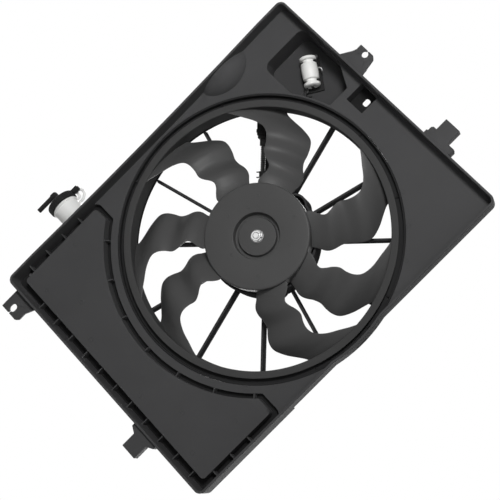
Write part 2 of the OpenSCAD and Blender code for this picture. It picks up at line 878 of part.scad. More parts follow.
module motor_shaft() color([0.80, 0.81, 0.83]) {
    disc_y(shaft_r, shaft_front, shaft_back);
}

module slot_shape(shrink) {
    r0 = core_r - slot_depth - tooth_t + shrink;
    translate([r0, shrink - slot_w / 2]) square([slot_depth - 2 * shrink, slot_w - 2 * shrink]);
}

module armature_core() color([0.45, 0.45, 0.47]) {
    difference() {
        along_y(core_front, core_back) difference() {
            circle(r = core_r);
            for (k = [0 : slot_count - 1]) rotate(k * 360 / slot_count) {
                slot_shape(0);
                translate([core_r - tooth_t - seam, -slot_mouth_w / 2])
                    square([tooth_t + cut, slot_mouth_w]);
            }
        }
        disc_y(shaft_r + run_fit, core_front - cut, core_back + cut);
    }
}

module winding_end(front, back) {
    ring_y(windings_inner_r, windings_r, front, back);
}

module armature_windings() color([0.72, 0.36, 0.14]) {
    winding_end(windings_front_y, core_front - snug);
    winding_end(core_back + snug, windings_back_y);
    along_y(core_front - seam, core_back + seam)
        for (k = [0 : slot_count - 1]) rotate(k * 360 / slot_count) slot_shape(snug);
}

module commutator() color([0.78, 0.45, 0.20]) {
    difference() {
        disc_y(commutator_r, commutator_y, commutator_y + commutator_len);
        disc_y(shaft_r + run_fit, commutator_y - cut, commutator_y + commutator_len + cut);
    }
}

module motor_magnets() color([0.16, 0.16, 0.17]) {
    for (k = [0 : magnet_count - 1]) at_angle(k * 360 / magnet_count + magnet_arc / 2)
        translate([0, core_front - magnet_over, 0]) rotate([-90, 0, 0]) rotate_extrude(angle = magnet_arc)
            translate([core_r + air_gap, 0])
                square([magnet_t - snug, core_back - core_front + 2 * magnet_over]);
}

module front_bearing() color([0.66, 0.58, 0.42]) {
    ring_y(shaft_r + run_fit, bearing_r, seat_front + snug, seat_front + bearing_len);
}

module rear_bearing() color([0.66, 0.58, 0.42]) {
    ring_y(shaft_r + run_fit, bearing_r, rear_bearing_y, rear_bearing_y + bearing_len);
}

brush_angles = [0, 180];

module brush_plate() color([0.42, 0.30, 0.18]) {
    difference() {
        union() {
            ring_y(commutator_r + plate_clear, can_r - can_t - snug, plate_y, plate_y + plate_t);
            for (a = brush_angles) at_angle(a)
                translate([brush_r0 + brush_out, plate_y - brush_d - brush_box_over,
                    -brush_h / 2 - brush_box_t])
                    cube([spring_end - brush_r0 - brush_box_over, brush_d + brush_box_over + seam,
                        brush_h + 2 * brush_box_t]);
        }
        for (a = brush_angles) at_angle(a)
            translate([brush_r0, plate_y - brush_d - cut, -brush_h / 2 - snug])
                cube([spring_end - brush_r0, brush_d + cut - snug, brush_h + 2 * snug]);
        for (a = end_screw_angles) at_angle(a) translate([end_screw_at, 0, 0])
            disc_y(end_screw_r + snug, plate_y - cut, plate_y + plate_t + cut);
    }
}

module brushes() color([0.10, 0.10, 0.10]) {
    for (a = brush_angles) at_angle(a)
        translate([brush_r0, plate_y - brush_d, -brush_h / 2])
            cube([brush_r1 - brush_r0, brush_d - 2 * snug, brush_h]);
}

module brush_springs() color([0.70, 0.71, 0.73]) {
    for (a = brush_angles) at_angle(a)
        translate([brush_r1, plate_y - brush_d / 2 - snug, 0]) rotate([0, 90, 0])
            difference() {
                cylinder(r = spring_r, h = spring_end - brush_r1, $fn = 32);
                translate([0, 0, -cut]) cylinder(r = spring_r / 2, h = spring_end, $fn = 32);
            }
}

screw_len = 14;
screw_head_h = 2.6;
screw_head_r = 4.2;

module screw(r, head_r, head_h, length) {
    rotate([-90, 0, 0]) cylinder(r = r, h = length);
    translate([0, -head_h, 0]) rotate([-90, 0, 0]) difference() {
        cylinder(r = head_r, h = head_h);
        translate([0, 0, -cut]) cylinder(r = head_r / 2, h = cut + head_h / 2, $fn = 6);
    }
}

module motor_screws() color([0.70, 0.71, 0.73]) {
    for (a = ear_angles) at_angle(a) translate([ear_r, ear_y, 0])
        screw(motor_screw_r, screw_head_r, screw_head_h, screw_len);
}

end_screw_angles = [90, 270];
end_screw_in = 7;
end_screw_at = can_r - end_screw_in;
end_screw_bite = 3;
end_screw_r = 1.9;
end_screw_head_r = 3.4;

module end_cap_screws() color([0.70, 0.71, 0.73]) {
    for (a = end_screw_angles) at_angle(a)
        translate([end_screw_at, can_back + cap_t + wall / 2, 0]) rotate([0, 0, 180])
            screw(end_screw_r, end_screw_head_r, screw_head_h, cap_t + wall / 2 + end_screw_bite);
}

// Motor lead: grommet in the can, conduit clipped beside one carrier rib, connector at its end
grommet_r = 5.4;
grommet_room_r = cup_inner_r - body_gap;
grommet_out = lead_off + grommet_r;
grommet_end = sqrt(grommet_room_r * grommet_room_r - grommet_out * grommet_out);
conduit_end = barrel_r - conduit_short;
clip_from_cup = 12.7;
clip_len = 8.5;
clip_at = [cup_r + clip_from_cup, conduit_end - clip_len - body_gap];
clip_t = 1.4;
clip_leg = 7;
clip_lug = 5;
connector_len = 20;
connector_w = 11.6;
connector_d = 13;
connector_collar_len = 4;
connector_step = 1;
connector_key = 2;
lock_w = 6;
lock_h = 2.4;
rib_side = rib_w / 2 + snug;

// Places a piece in the conduit's own frame: X along it, Y is depth, the rib lies on the minus Z side
module on_lead() {
    at_angle(lead_angle) translate([0, lead_y, lead_off]) children();
}

module lead_grommet() color([0.12, 0.12, 0.12]) {
    on_lead() difference() {
        rod_x(grommet_r, can_r + body_gap, grommet_end);
        rod_x(conduit_r - wall / 2, can_r - cut, cup_inner_r + cut);
    }
}

module motor_lead() color([0.09, 0.09, 0.09]) {
    on_lead() difference() {
        rod_x(conduit_r, grommet_end, conduit_end);
        rod_x(conduit_r - wall / 2, can_r, conduit_end + cut);
    }
}

module lead_clips() color([0.13, 0.13, 0.13]) {
    for (x = clip_at) on_lead() difference() {
        union() {
            rod_x(conduit_r + clip_t, x, x + clip_len);
            translate([x, rib_y - lead_y - clip_t - snug, -lead_off - rib_side - clip_t])
                cube([clip_len, clip_t, lead_off + rib_side + clip_t]);
            translate([x, rib_y - lead_y - clip_t - snug, -lead_off - rib_side - clip_t])
                cube([clip_len, clip_leg, clip_t]);
            if (x == clip_at[0]) for (e = [0, clip_len - clip_t])
                translate([x + e, -clip_t, 0]) cube([clip_t, 2 * clip_t, conduit_r + clip_lug]);
        }
        rod_x(conduit_r + snug, cup_r, conduit_end);
        translate([x - cut, rib_y - lead_y - snug, -lead_off - rib_side])
            cube([clip_len + 2 * cut, rib_h, 2 * rib_side]);
    }
}

module motor_connector() color([0.11, 0.11, 0.11]) {
    start = conduit_end + connector_collar_len;
    on_lead() translate([0, 0, rib_side - lead_off]) difference() {
        union() {
            translate([conduit_end, connector_step - connector_d / 2, 0])
                cube([connector_len, connector_d - 2 * connector_step, connector_w - connector_step]);
            translate([start, -connector_d / 2, 0]) cube([connector_len, connector_d, connector_w]);
            translate([start + connector_len / 4, -connector_key, connector_w])
                cube([connector_len / 4, connector_key, connector_key]);
        }
        translate([start + connector_len / 2, wall - connector_d / 2, wall])
            cube([connector_len, connector_d - 2 * wall, connector_w - 2 * wall]);
    }
}

module connector_lock() color([0.55, 0.12, 0.10]) {
    on_lead() translate([conduit_end + connector_len / 2, connector_d / 2,
        rib_side - lead_off + connector_w / 2 - lock_w / 2]) cube([connector_len / 2, lock_h, lock_w]);
}

// Ceramic ballast resistor on its holder in the pocket
resistor_at_shares = [0.46, 0.41];
resistor_x = pocket_right - pocket_w * resistor_at_shares[0];
resistor_z = pocket_top - pocket_h * resistor_at_shares[1];
resistor_step = 1.6;
resistor_waist_r = resistor_r - resistor_step;
resistor_cap_len = 8;
holder_margin = 4;
holder = [resistor_len + 2 * holder_margin, 2 * resistor_r + holder_margin];
holder_t = 3;
resistor_y = pocket_y - holder_t - body_gap - resistor_r;
cradle_t = 3;
terminal_w = 3.4;
terminal_t = 0.9;
holder_screw_r = 1.8;
holder_screw_head_r = 3;

// Places a piece in the resistor's own frame: X along its axis, Y is depth
module on_resistor() {
    translate([resistor_x, 0, resistor_z]) rotate([0, -resistor_lean, 0]) children();
}

module rod_x(r, from, to) {
    translate([from, 0, 0]) rotate([0, 90, 0]) cylinder(r = r, h = to - from);
}

module resistor_body() color([0.93, 0.93, 0.90]) {
    h = resistor_len / 2;
    on_resistor() translate([0, resistor_y, 0]) difference() {
        union() {
            rod_x(resistor_waist_r, -h, h);
            rod_x(resistor_r, -h, resistor_cap_len - h);
            rod_x(resistor_r, h - resistor_cap_len, h);
        }
        rod_x(resistor_waist_r / 3, -h - cut, h + cut);
        for (s = [-1, 1]) translate([s * (h - resistor_cap_len / 2), -resistor_r, 0])
            rotate([-90, 0, 0]) cylinder(r = resistor_cap_len / 4, h = resistor_cap_len / 2);
    }
}

module resistor_holder() color([0.15, 0.15, 0.15]) {
    h = resistor_len / 2;
    on_resistor() difference() {
        union() {
            translate([-holder.x / 2, pocket_y - holder_t, -holder.y / 2])
                cube([holder.x, holder_t - snug, holder.y]);
            for (s = [-1, 1])
                translate([s * (h - resistor_cap_len - cradle_t) - cradle_t / 2, resistor_y, -resistor_waist_r])
                    cube([cradle_t, pocket_y - holder_t - resistor_y + seam, 2 * resistor_waist_r]);
        }
        translate([0, resistor_y, 0]) rod_x(resistor_waist_r + snug, -h, h);
        for (s = [-1, 1]) translate([s * (holder.x / 2 - wall), 0, -s * (holder.y / 2 - holder_screw_head_r)])
            disc_y(holder_screw_r, pocket_y - holder_t - cut, pocket_y + cut);
    }
}

module resistor_terminals() color([0.78, 0.78, 0.76]) {
    h = resistor_len / 2;
    on_resistor() for (s = [-1, 1]) {
        translate([s * (h + snug) - (s < 0 ? terminal_t : 0), resistor_y - terminal_w / 2, -terminal_w / 2])
            cube([terminal_t, pocket_y - holder_t - resistor_y + terminal_w / 2, terminal_w]);
    }
}

module resistor_screws() color([0.70, 0.71, 0.73]) {
    on_resistor() for (s = [-1, 1])
        translate([s * (holder.x / 2 - wall), pocket_y - holder_t, -s * (holder.y / 2 - holder_screw_head_r)])
            screw(holder_screw_r - snug, holder_screw_head_r, screw_head_h, holder_t - snug);
}

// Coolant reservoir behind the left cover
tank_clear = 1.5;
tank_y = channel_back + tank_clear;
tank_gap = 4;
tank_down = 12;
tank_top = top - tank_down;
tank_corner_r = 6;
tank_arc_r = groove_r + wall + tank_gap;
tank_right_share = 0.634;
tank_right_x = -tank_arc_r * tank_right_share;
tank_back = tank_y + tank_depth;
neck_in = 113;
neck_x = left + neck_in;
neck_y = tank_y + tank_depth / 2;
neck_wall = 2.2;
neck_ear = [16, 3, 15];
neck_ear_hole = [11, 9];
cap_z = tank_top + neck_rise;
cap_r = neck_r + body_gap + cap_wall;
cap_skirt = 5;
cap_step = 2.4;
cap_dome = 3;
dip_tube_r = 3.2;
dip_over = 15;
dip_end_z = sqrt(tank_arc_r * tank_arc_r - neck_x * neck_x) + dip_over;
nipple_r = 3.3;
nipple_up = 18;
nipple_z = cap_z + nipple_up;
nipple_len = 25.5;
nipple_wall = 1;
elbow_len = 5.5;
cap_tab = [12, 6];
lug_r = 7;
lug_t = 4;
lug_hole_r = 2.6;
lug_reach = 5;
lug_in = 21;
lug_from_cover = 11.5;
lug_low_z = tank_drop + lug_reach;
tank_lugs = [[left + lug_in, 1],
    [-sqrt(cover_arc_r * cover_arc_r - lug_low_z * lug_low_z) - lug_from_cover, -1]];
tank_boss_r = 5.5;
lug_bolt_head_r = 4.5;

// Posts behind the left cover that the tank's lugs are bolted to
module tank_bosses() {
    for (p = tank_lugs) lug_centre(p) difference() {
        disc_y(tank_boss_r, p.y > 0 ? channel_y + wall / 2 : cover_y + wall / 2, tank_y);
        disc_y(lug_hole_r, p.y > 0 ? channel_y - cut : cover_y + wall, tank_y + cut);
    }
}

module tank_outline(shrink) {
    l = left + rim_wall + tank_gap + shrink;
    b = -tank_drop + shrink;
    t = tank_top - shrink;
    difference() {
        translate([l, b]) round_rect(tank_right_x - shrink - l, t - b, tank_corner_r);
        circle(r = tank_arc_r + shrink);
    }
}

module reservoir_tank() color([0.86, 0.87, 0.86, 0.85]) {
    difference() {
        union() {
            along_y(tank_y, tank_back) tank_outline(0);
            translate([neck_x, neck_y, tank_top - tank_wall])
                cylinder(r = neck_r, h = cap_z - tank_top + tank_wall);
            translate([neck_x + neck_r - neck_wall, neck_y - neck_ear.y / 2, cap_z - neck_ear.z - cap_skirt])
                cube(neck_ear);
        }
        along_y(tank_y + tank_wall, tank_back - tank_wall) tank_outline(tank_wall);
        translate([neck_x, neck_y, tank_top - cut - tank_wall])
            cylinder(r = neck_r - neck_wall, h = cap_z - tank_top + 2 * cut + tank_wall);
        translate([neck_x + neck_r + neck_wall / 2, neck_y - neck_ear.y,
            cap_z - neck_ear.z + neck_wall - cap_skirt])
            cube([neck_ear_hole.x, 2 * neck_ear.y, neck_ear_hole.y]);
    }
    for (p = tank_lugs) tank_lug(p);
}

module lug_centre(p) {
    translate([p.x, 0, p.y > 0 ? tank_top + lug_reach : -tank_drop - lug_reach]) children();
}

module tank_lug(p) {
    lug_centre(p) difference() {
        union() {
            disc_y(lug_r, tank_y, tank_y + lug_t);
            translate([-lug_r, tank_y, p.y > 0 ? -lug_r : 0]) cube([2 * lug_r, lug_t, lug_r + seam]);
        }
        disc_y(lug_hole_r, tank_y - cut, tank_y + lug_t + cut);
    }
}

module reservoir_cap() color([0.10, 0.10, 0.10]) {
    top_z = cap_z + cap_skirt;
    difference() {
        union() {
            translate([neck_x, neck_y, cap_z - cap_skirt + body_gap]) cylinder(r = cap_r, h = 2 * cap_skirt);
            translate([neck_x, neck_y, top_z]) cylinder(r1 = cap_r - cap_step, r2 = cap_r / 2, h = cap_dome);
            translate([neck_x, neck_y, top_z]) cylinder(r = nipple_r + nipple_wall, h = nipple_z - top_z);
            translate([neck_x, neck_y, nipple_z]) sphere(r = nipple_r + nipple_wall);
            translate([neck_x, neck_y, nipple_z]) rod_x(nipple_r + nipple_wall, -elbow_len, 0);
            translate([neck_x, neck_y, nipple_z]) rod_x(nipple_r, -elbow_len - nipple_len, -elbow_len);
            translate([neck_x + cap_r - cap_step, neck_y - cap_tab.y / 2, cap_z])
                cube([cap_tab.x, cap_tab.y, cap_skirt]);
        }
        translate([neck_x, neck_y, cap_z - 2 * cap_skirt])
            cylinder(r = neck_r + body_gap, h = 2 * cap_skirt + body_gap);
    }
}

module reservoir_dip_tube() color([0.12, 0.12, 0.12]) {
    translate([neck_x, neck_y, dip_end_z]) difference() {
        cylinder(r = dip_tube_r, h = cap_z + body_gap - snug - dip_end_z);
        translate([0, 0, -cut]) cylinder(r = dip_tube_r / 2, h = cap_z - dip_end_z);
    }
}

module reservoir_bolts() color([0.70, 0.71, 0.73]) {
    for (p = tank_lugs) lug_centre(p) translate([0, tank_y + lug_t, 0]) rotate([0, 0, 180])
        screw(lug_hole_r - snug, lug_bolt_head_r, screw_head_h, lug_t + wall + tank_y - channel_back);
}

shroud();
fan_barrel();
motor_carrier();
fan();
hub_bush();
fan_washer();
fan_nut();
motor_can();
motor_flange();
motor_end_cap();
motor_shaft();
armature_core();
armature_windings();
commutator();
motor_magnets();
front_bearing();
rear_bearing();
brush_plate();
brushes();
brush_springs();
motor_screws();
end_cap_screws();
lead_grommet();
motor_lead();
lead_clips();
motor_connector();
connector_lock();
resistor_body();
resistor_holder();
resistor_terminals();
resistor_screws();
reservoir_tank();
reservoir_cap();
reservoir_dip_tube();
reservoir_bolts();
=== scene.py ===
"""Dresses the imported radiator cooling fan: finishes, smooth mouldings, the conduit, fasteners and the stage."""

import math

import bmesh
import bpy
from mathutils import Matrix, Vector


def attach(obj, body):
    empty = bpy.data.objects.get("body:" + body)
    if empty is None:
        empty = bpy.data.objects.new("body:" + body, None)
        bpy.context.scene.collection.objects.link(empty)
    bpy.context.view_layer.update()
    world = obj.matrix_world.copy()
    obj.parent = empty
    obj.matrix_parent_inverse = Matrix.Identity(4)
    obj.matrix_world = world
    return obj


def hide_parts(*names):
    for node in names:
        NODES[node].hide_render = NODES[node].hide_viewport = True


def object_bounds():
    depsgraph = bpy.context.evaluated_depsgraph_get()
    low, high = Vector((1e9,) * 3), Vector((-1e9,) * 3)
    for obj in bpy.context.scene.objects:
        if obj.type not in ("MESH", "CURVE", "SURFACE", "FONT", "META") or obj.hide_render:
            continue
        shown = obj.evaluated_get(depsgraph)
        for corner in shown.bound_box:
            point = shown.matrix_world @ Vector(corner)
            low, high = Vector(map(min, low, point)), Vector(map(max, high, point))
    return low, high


bl_info = {
    "name": "Radiator Cooling Fan",
    "version": (1, 0, 0),
    "blender": (4, 5, 0),
    "location": "View3D > Sidebar > Cooling Fan",
    "description": "Dresses the packed solids of a radiator cooling fan",
    "category": "Object",
}

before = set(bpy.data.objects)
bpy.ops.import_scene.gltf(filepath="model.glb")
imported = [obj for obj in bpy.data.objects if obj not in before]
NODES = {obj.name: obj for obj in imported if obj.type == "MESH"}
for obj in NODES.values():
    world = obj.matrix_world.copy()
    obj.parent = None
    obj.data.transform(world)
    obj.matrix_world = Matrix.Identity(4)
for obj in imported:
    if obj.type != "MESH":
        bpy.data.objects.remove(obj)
CAD_BOX = [list(corner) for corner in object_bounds()]
ROOT_BODY = "shroud_assembly"
ROTOR_BODY = "rotor"
CAP_BODY = "filler_cap"
MM = 0.001


# Small helpers

def linear(grey, tint=(1.0, 1.0, 1.0)):
    """A shader colour from one brightness and a tint."""
    return tuple(grey * t for t in tint) + (1.0,)


def settings(name):
    """One of this add-on's groups of settings."""
    return getattr(bpy.context.scene, name)


def add_object(name, mesh):
    piece = bpy.data.objects.new(name, mesh)
    bpy.context.scene.collection.objects.link(piece)
    return piece


def dress(piece, material, body, slot, *nodes):
    """Gives a finished piece its material and its body, and hides the CAD nodes that it stands for. The slot is not
    used.
    """
    if material is not None:
        piece.data.materials.clear()
        piece.data.materials.append(material)
    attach(piece, body)
    if nodes:
        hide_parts(*nodes)
    return piece


def finish_nodes(material, *names):
    """Gives CAD nodes that stay in view their material."""
    for name in names:
        NODES[name].data.materials.clear()
        NODES[name].data.materials.append(material)


# Shapes, in millimetres, as in the part's source

HUB_R, HUB_FRONT, HUB_BACK = 69.5, 15.0, 37.0
BAND_R, BAND_T, BAND_FRONT, BAND_LENGTH, FLANGE_R = 170.5, 3.0, 21.0, 26.0, 180.0
BLADE_ANGLES = (28.9, 76.9, 130.2, 167.4, 242.2, 280.64, 324.05)
BLADE_SHARES = (
    (0.00, -1.5, 36.3, 0.00, 0.00),
    (0.05, -1.6, 35.8, 0.05, -0.05),
    (0.11, -3.4, 32.6, 0.14, -0.06),
    (0.17, -5.6, 29.3, 0.27, -0.02),
    (0.23, -6.0, 27.3, 0.39, 0.03),
    (0.29, -4.2, 26.8, 0.48, 0.10),
    (0.36, -1.2, 26.2, 0.57, 0.19),
    (0.44, 0.5, 25.6, 0.66, 0.30),
    (0.54, 0.1, 24.5, 0.75, 0.39),
    (0.64, 0.5, 23.9, 0.82, 0.48),
    (0.73, 2.5, 23.6, 0.88, 0.57),
    (0.81, 7.3, 23.1, 0.92, 0.71),
    (0.88, 12.9, 23.4, 0.96, 0.85),
    (0.94, 16.6, 23.7, 0.98, 0.96),
    (1.00, 19.4, 25.7, 1.00, 1.00),
)
LEAD_ANGLE, LEAD_DEPTH, LEAD_OFF = 45.0, 61.4, 5.4
RESISTOR_AT, RESISTOR_Y, RESISTOR_LEAN = (198.54, 115.18), 45.7, 56.0
NECK_AT = (-160.0, 59.0)
TANK_LEFT, TANK_RIGHT, TANK_LOW, TANK_HIGH, TANK_RING = -266.0, -122.05, -60.0, 185.0, 192.5
TANK_LUGS = ((-252.0, 190.0), (-205.92, -65.0))
RIM_RIGHT = 237.0

TO_X = Matrix.Rotation(-math.pi / 2, 4, "Z")
TO_Z = Matrix.Rotation(math.pi / 2, 4, "X")
LEAD = Matrix.Rotation(-math.radians(LEAD_ANGLE), 4, "Y") @ Matrix.Translation((0.0, LEAD_DEPTH * MM, LEAD_OFF * MM))


def rounded(corners, steps=4, closed=True):
    """An outline whose corners (x, y, radius) are eased by short curves."""
    outline, count = [], len(corners)
    for i, (x, y, radius) in enumerate(corners):
        here = Vector((x, y))
        if radius <= 0 or (not closed and i in (0, count - 1)):
            outline.append(here)
            continue
        before, after = Vector(corners[i - 1][:2]) - here, Vector(corners[(i + 1) % count][:2]) - here
        half = before.angle(after) / 2
        reach = min(radius / math.tan(half), 0.48 * before.length, 0.48 * after.length)
        start, end = here + before.normalized() * reach, here + after.normalized() * reach
        for k in range(steps + 1):
            t = k / steps
            outline.append(start * (1 - t) ** 2 + here * 2 * t * (1 - t) + end * t * t)
    return outline


def mesh_from(name, points, faces, sharp=32.0, merge=0.0):
    """A smooth-shaded mesh from points in millimetres, with its hard edges marked."""
    mesh = bpy.data.meshes.new(name)
    mesh.from_pydata([Vector(p) * MM for p in points], [], faces)
    return soften(mesh, sharp, merge=merge)


def soften(mesh, sharp=32.0, recalculate=True, merge=0.0):
    work = bmesh.new()
    work.from_mesh(mesh)
    if merge:
        bmesh.ops.remove_doubles(work, verts=work.verts, dist=merge)
    if recalculate:
        bmesh.ops.recalc_face_normals(work, faces=work.faces)
    limit = math.radians(sharp)
    for face in work.faces:
        face.smooth = True
    for edge in work.edges:
        edge.smooth = len(edge.link_faces) == 2 and edge.calc_face_angle(0.0) < limit
    work.to_mesh(mesh)
    work.free()
    return mesh


def turned(name, outline, steps=256, sharp=32.0, centre=(0.0, 0.0, 0.0), hexed=()):
    """Turns a closed outline of (radius, depth) round the Y axis; the hexed points get six flats."""
    points, faces, count = [], [], len(outline)
    for i in range(steps):
        a = 2 * math.pi * i / steps
        flat = math.cos(math.pi / 6) / math.cos(a % (math.pi / 3) - math.pi / 6)
        for j, (r, y) in enumerate(outline):
            reach = r * flat if j in hexed else r
            points.append((centre[0] + reach * math.cos(a), centre[1] + y, centre[2] + reach * math.sin(a)))
    for i in range(steps):
        for j in range(count):
            k = (j + 1) % count
            a, b = i * count, (i + 1) % steps * count
            faces.append((a + j, a + k, b + k, b + j))
    poles = min(r for r, _ in outline) == 0
    return mesh_from(name, points, faces, sharp, merge=1e-6 if poles else 0.0)


def merged(name, meshes):
    """One mesh out of several, each kept as it is."""
    work = bmesh.new()
    for mesh in meshes:
        work.from_mesh(mesh)
    out = bpy.data.meshes.new(name)
    work.to_mesh(out)
    work.free()
    for mesh in meshes:
        bpy.data.meshes.remove(mesh)
    return out


def blade_curve(share, column):
    """One column of the blade's rows at a share of its span, eased between the rows."""
    rows, i = BLADE_SHARES, 0
    while i < len(rows) - 2 and share > rows[i + 1][0]:
        i += 1

    def slope(k):
        a, b = max(k - 1, 0), min(k + 1, len(rows) - 1)
        return (rows[b][column] - rows[a][column]) / (rows[b][0] - rows[a][0])

    h = rows[i + 1][0] - rows[i][0]
    t = (share - rows[i][0]) / h
    return (
        rows[i][column] * (1 + 2 * t) * (1 - t) ** 2
        + slope(i) * h * t * (1 - t) ** 2
        + rows[i + 1][column] * t * t * (3 - 2 * t)
        + slope(i + 1) * h * t * t * (t - 1)
    )


def blade_point(share, across, side):
    """A point of a blade: along its span, across its chord and on one of its sides."""
    root, tip = HUB_R - 1.25, BAND_R + 1.5
    radius = root + share * (tip - root)
    angle = math.radians(blade_curve(share, 1) + (across - 0.5) * blade_curve(share, 2))
    bow = 4 * across * (1 - across)
    rear = 34.4 + blade_curve(share, 3) * (45.0 - 34.4)
    front = 19.6 + blade_curve(share, 4) * (22.6 - 19.6)
    wave = 1.7 * math.sin(2 * math.pi * 2.7 * share) * math.sin(math.pi * share)
    depth = rear + across * (front - rear) - 3.0 * bow + wave
    thick = 2.6 * (0.45 + 0.55 * math.sqrt(max(bow, 0.0)))
    return (radius * math.cos(angle), depth + side * thick / 2, radius * math.sin(angle))


def at(x, y, z):
    """A move, given in millimetres."""
    return Matrix.Translation(Vector((x, y, z)) * MM)


def lean(degrees):
    """A turn about the fan's axis, counter-clockwise seen from the radiator."""
    return Matrix.Rotation(-math.radians(degrees), 4, "Y")


def moved(mesh, *steps):
    """Moves a mesh by one or more matrices, the last one first."""
    whole = Matrix.Identity(4)
    for step in steps:
        whole = whole @ step
    mesh.transform(whole)
    return mesh


def brick(name, low, high, ease=0.5):
    """A block between two corners in millimetres, with eased edges."""
    x0, y0, z0 = (c + ease for c in low)
    x1, y1, z1 = (c - ease for c in high)
    work = bmesh.new()
    for x in (x0, x1):
        for y in (y0, y1):
            for z in (z0, z1):
                for step in ((1, 0, 0), (0, 1, 0), (0, 0, 1)):
                    out = [ease * d * (1 if c > m else -1) for d, c, m in zip(step, (x, y, z), ((x0 + x1) / 2, (y0 + y1) / 2, (z0 + z1) / 2))]
                    work.verts.new(Vector((x + out[0], y + out[1], z + out[2])) * MM)
    bmesh.ops.convex_hull(work, input=work.verts)
    mesh = bpy.data.meshes.new(name)
    work.to_mesh(mesh)
    work.free()
    return soften(mesh, 20.0)


def prism(name, outline, low, high, ease=0.5):
    """An outline of (x, z) points with a depth from low to high, its two rims eased inwards."""
    centre = sum((Vector(p) for p in outline), Vector((0, 0))) / len(outline)
    points, faces, count = [], [], len(outline)
    for depth, inset in ((low, ease), (low + ease, 0), (high - ease, 0), (high, ease)):
        for p in outline:
            away = Vector(p) - centre
            q = Vector(p) - away.normalized() * inset
            points.append((q.x, depth, q.y))
    for k in range(3):
        for j in range(count):
            n = (j + 1) % count
            faces.append((k * count + j, k * count + n, (k + 1) * count + n, (k + 1) * count + j))
    faces += [tuple(range(count)), tuple(range(3 * count, 4 * count))]
    return mesh_from(name, points, faces, 30.0)


def eased(node, width=0.4, sharp=35.0, name=None):
    """A copy of a CAD node's mesh with a narrow chamfer along its hard edges."""
    mesh = NODES[node].data.copy()
    work = bmesh.new()
    work.from_mesh(mesh)
    bmesh.ops.remove_doubles(work, verts=work.verts, dist=2e-6)
    work.to_mesh(mesh)
    work.free()
    piece = add_object(name or node, mesh)
    bevel = piece.modifiers.new("Ease", "BEVEL")
    bevel.width, bevel.segments = width * MM, 1
    bevel.limit_method, bevel.angle_limit = "ANGLE", math.radians(sharp)
    bevel.use_clamp_overlap = False
    bpy.context.view_layer.update()
    seen = bpy.context.evaluated_depsgraph_get()
    out = bpy.data.meshes.new_from_object(piece.evaluated_get(seen), depsgraph=seen)
    bpy.data.objects.remove(piece)
    return soften(out, 28.0, recalculate=False)


def finish_eased(material, width, slot, body, *names):
    """Replaces CAD nodes by copies with eased edges."""
    for name in names:
        dress(add_object(name.title().replace("_", ""), eased(name, width)), material, body, slot, name)


def tube(name, path, radius, steps=12):
    """A round wire along a smooth path of points."""
    knots = [Vector(p) for p in path]
    ends = [2 * knots[0] - knots[1]] + knots + [2 * knots[-1] - knots[-2]]
    line = []
    for i in range(1, len(ends) - 2):
        a, b, c, d = ends[i - 1:i + 3]
        for k in range(6):
            t = k / 6
            line.append(0.5 * (2 * b + (c - a) * t + (2 * a - 5 * b + 4 * c - d) * t * t + (3 * b - a - 3 * c + d) * t ** 3))
    line.append(knots[-1])
    points, faces = [], []
    side = Vector((0, 0, 1)).cross(line[1] - line[0]).normalized()
    for i, here in enumerate(line):
        along = (line[min(i + 1, len(line) - 1)] - line[max(i - 1, 0)]).normalized()
        side = (side - along * side.dot(along)).normalized()
        other = along.cross(side)
        turn = [2 * math.pi * k / steps for k in range(steps)]
        points += [here + radius * (math.cos(a) * side + math.sin(a) * other) for a in turn]
    for i in range(len(line) - 1):
        for k in range(steps):
            n = (k + 1) % steps
            faces.append((i * steps + k, i * steps + n, (i + 1) * steps + n, (i + 1) * steps + k))
    last = (len(line) - 1) * steps
    faces += [tuple(range(steps)), tuple(range(last, last + steps))]
    return mesh_from(name, points, faces, 50.0)


# Trees that repeat a shape

def new_tree(name, inputs):
    """An empty geometry tree with named inputs, and its nodes."""
    tree = bpy.data.node_groups.new(name, "GeometryNodeTree")
    tree.interface.new_socket("Geometry", in_out="INPUT", socket_type="NodeSocketGeometry")
    for label, kind, value in inputs:
        socket = tree.interface.new_socket(label, in_out="INPUT", socket_type=kind)
        if value is not None:
            socket.default_value = value
    tree.interface.new_socket("Geometry", in_out="OUTPUT", socket_type="NodeSocketGeometry")
    return tree, tree.nodes.new("NodeGroupInput"), tree.nodes.new("NodeGroupOutput")


def close_tree(tree, given, out, instances):
    """Ends a tree in Realize Instances and Set Material."""
    real, paint = tree.nodes.new("GeometryNodeRealizeInstances"), tree.nodes.new("GeometryNodeSetMaterial")
    tree.links.new(instances, real.inputs["Geometry"])
    tree.links.new(real.outputs["Geometry"], paint.inputs["Geometry"])
    tree.links.new(given.outputs["Material"], paint.inputs["Material"])
    tree.links.new(paint.outputs["Geometry"], out.inputs["Geometry"])
    return tree


def placed_tree():
    """Sets one shape on every given point, turned as the point says."""
    name = "PlacedShapes"
    if name in bpy.data.node_groups:
        return bpy.data.node_groups[name]
    tree, given, out = new_tree(name, [
        ("Shape", "NodeSocketObject", None),
        ("Scale", "NodeSocketFloat", 1.0),
        ("Material", "NodeSocketMaterial", None),
    ])
    n, link = tree.nodes, tree.links.new
    shape, turn, put = n.new("GeometryNodeObjectInfo"), n.new("GeometryNodeInputNamedAttribute"), n.new("GeometryNodeInstanceOnPoints")
    turn.data_type = "FLOAT_VECTOR"
    turn.inputs["Name"].default_value = "turn"
    link(given.outputs["Shape"], shape.inputs["Object"])
    link(given.outputs["Geometry"], put.inputs["Points"])
    link(shape.outputs["Geometry"], put.inputs["Instance"])
    link(turn.outputs["Attribute"], put.inputs["Rotation"])
    link(given.outputs["Scale"], put.inputs["Scale"])
    return close_tree(tree, given, out, put.outputs["Instances"])


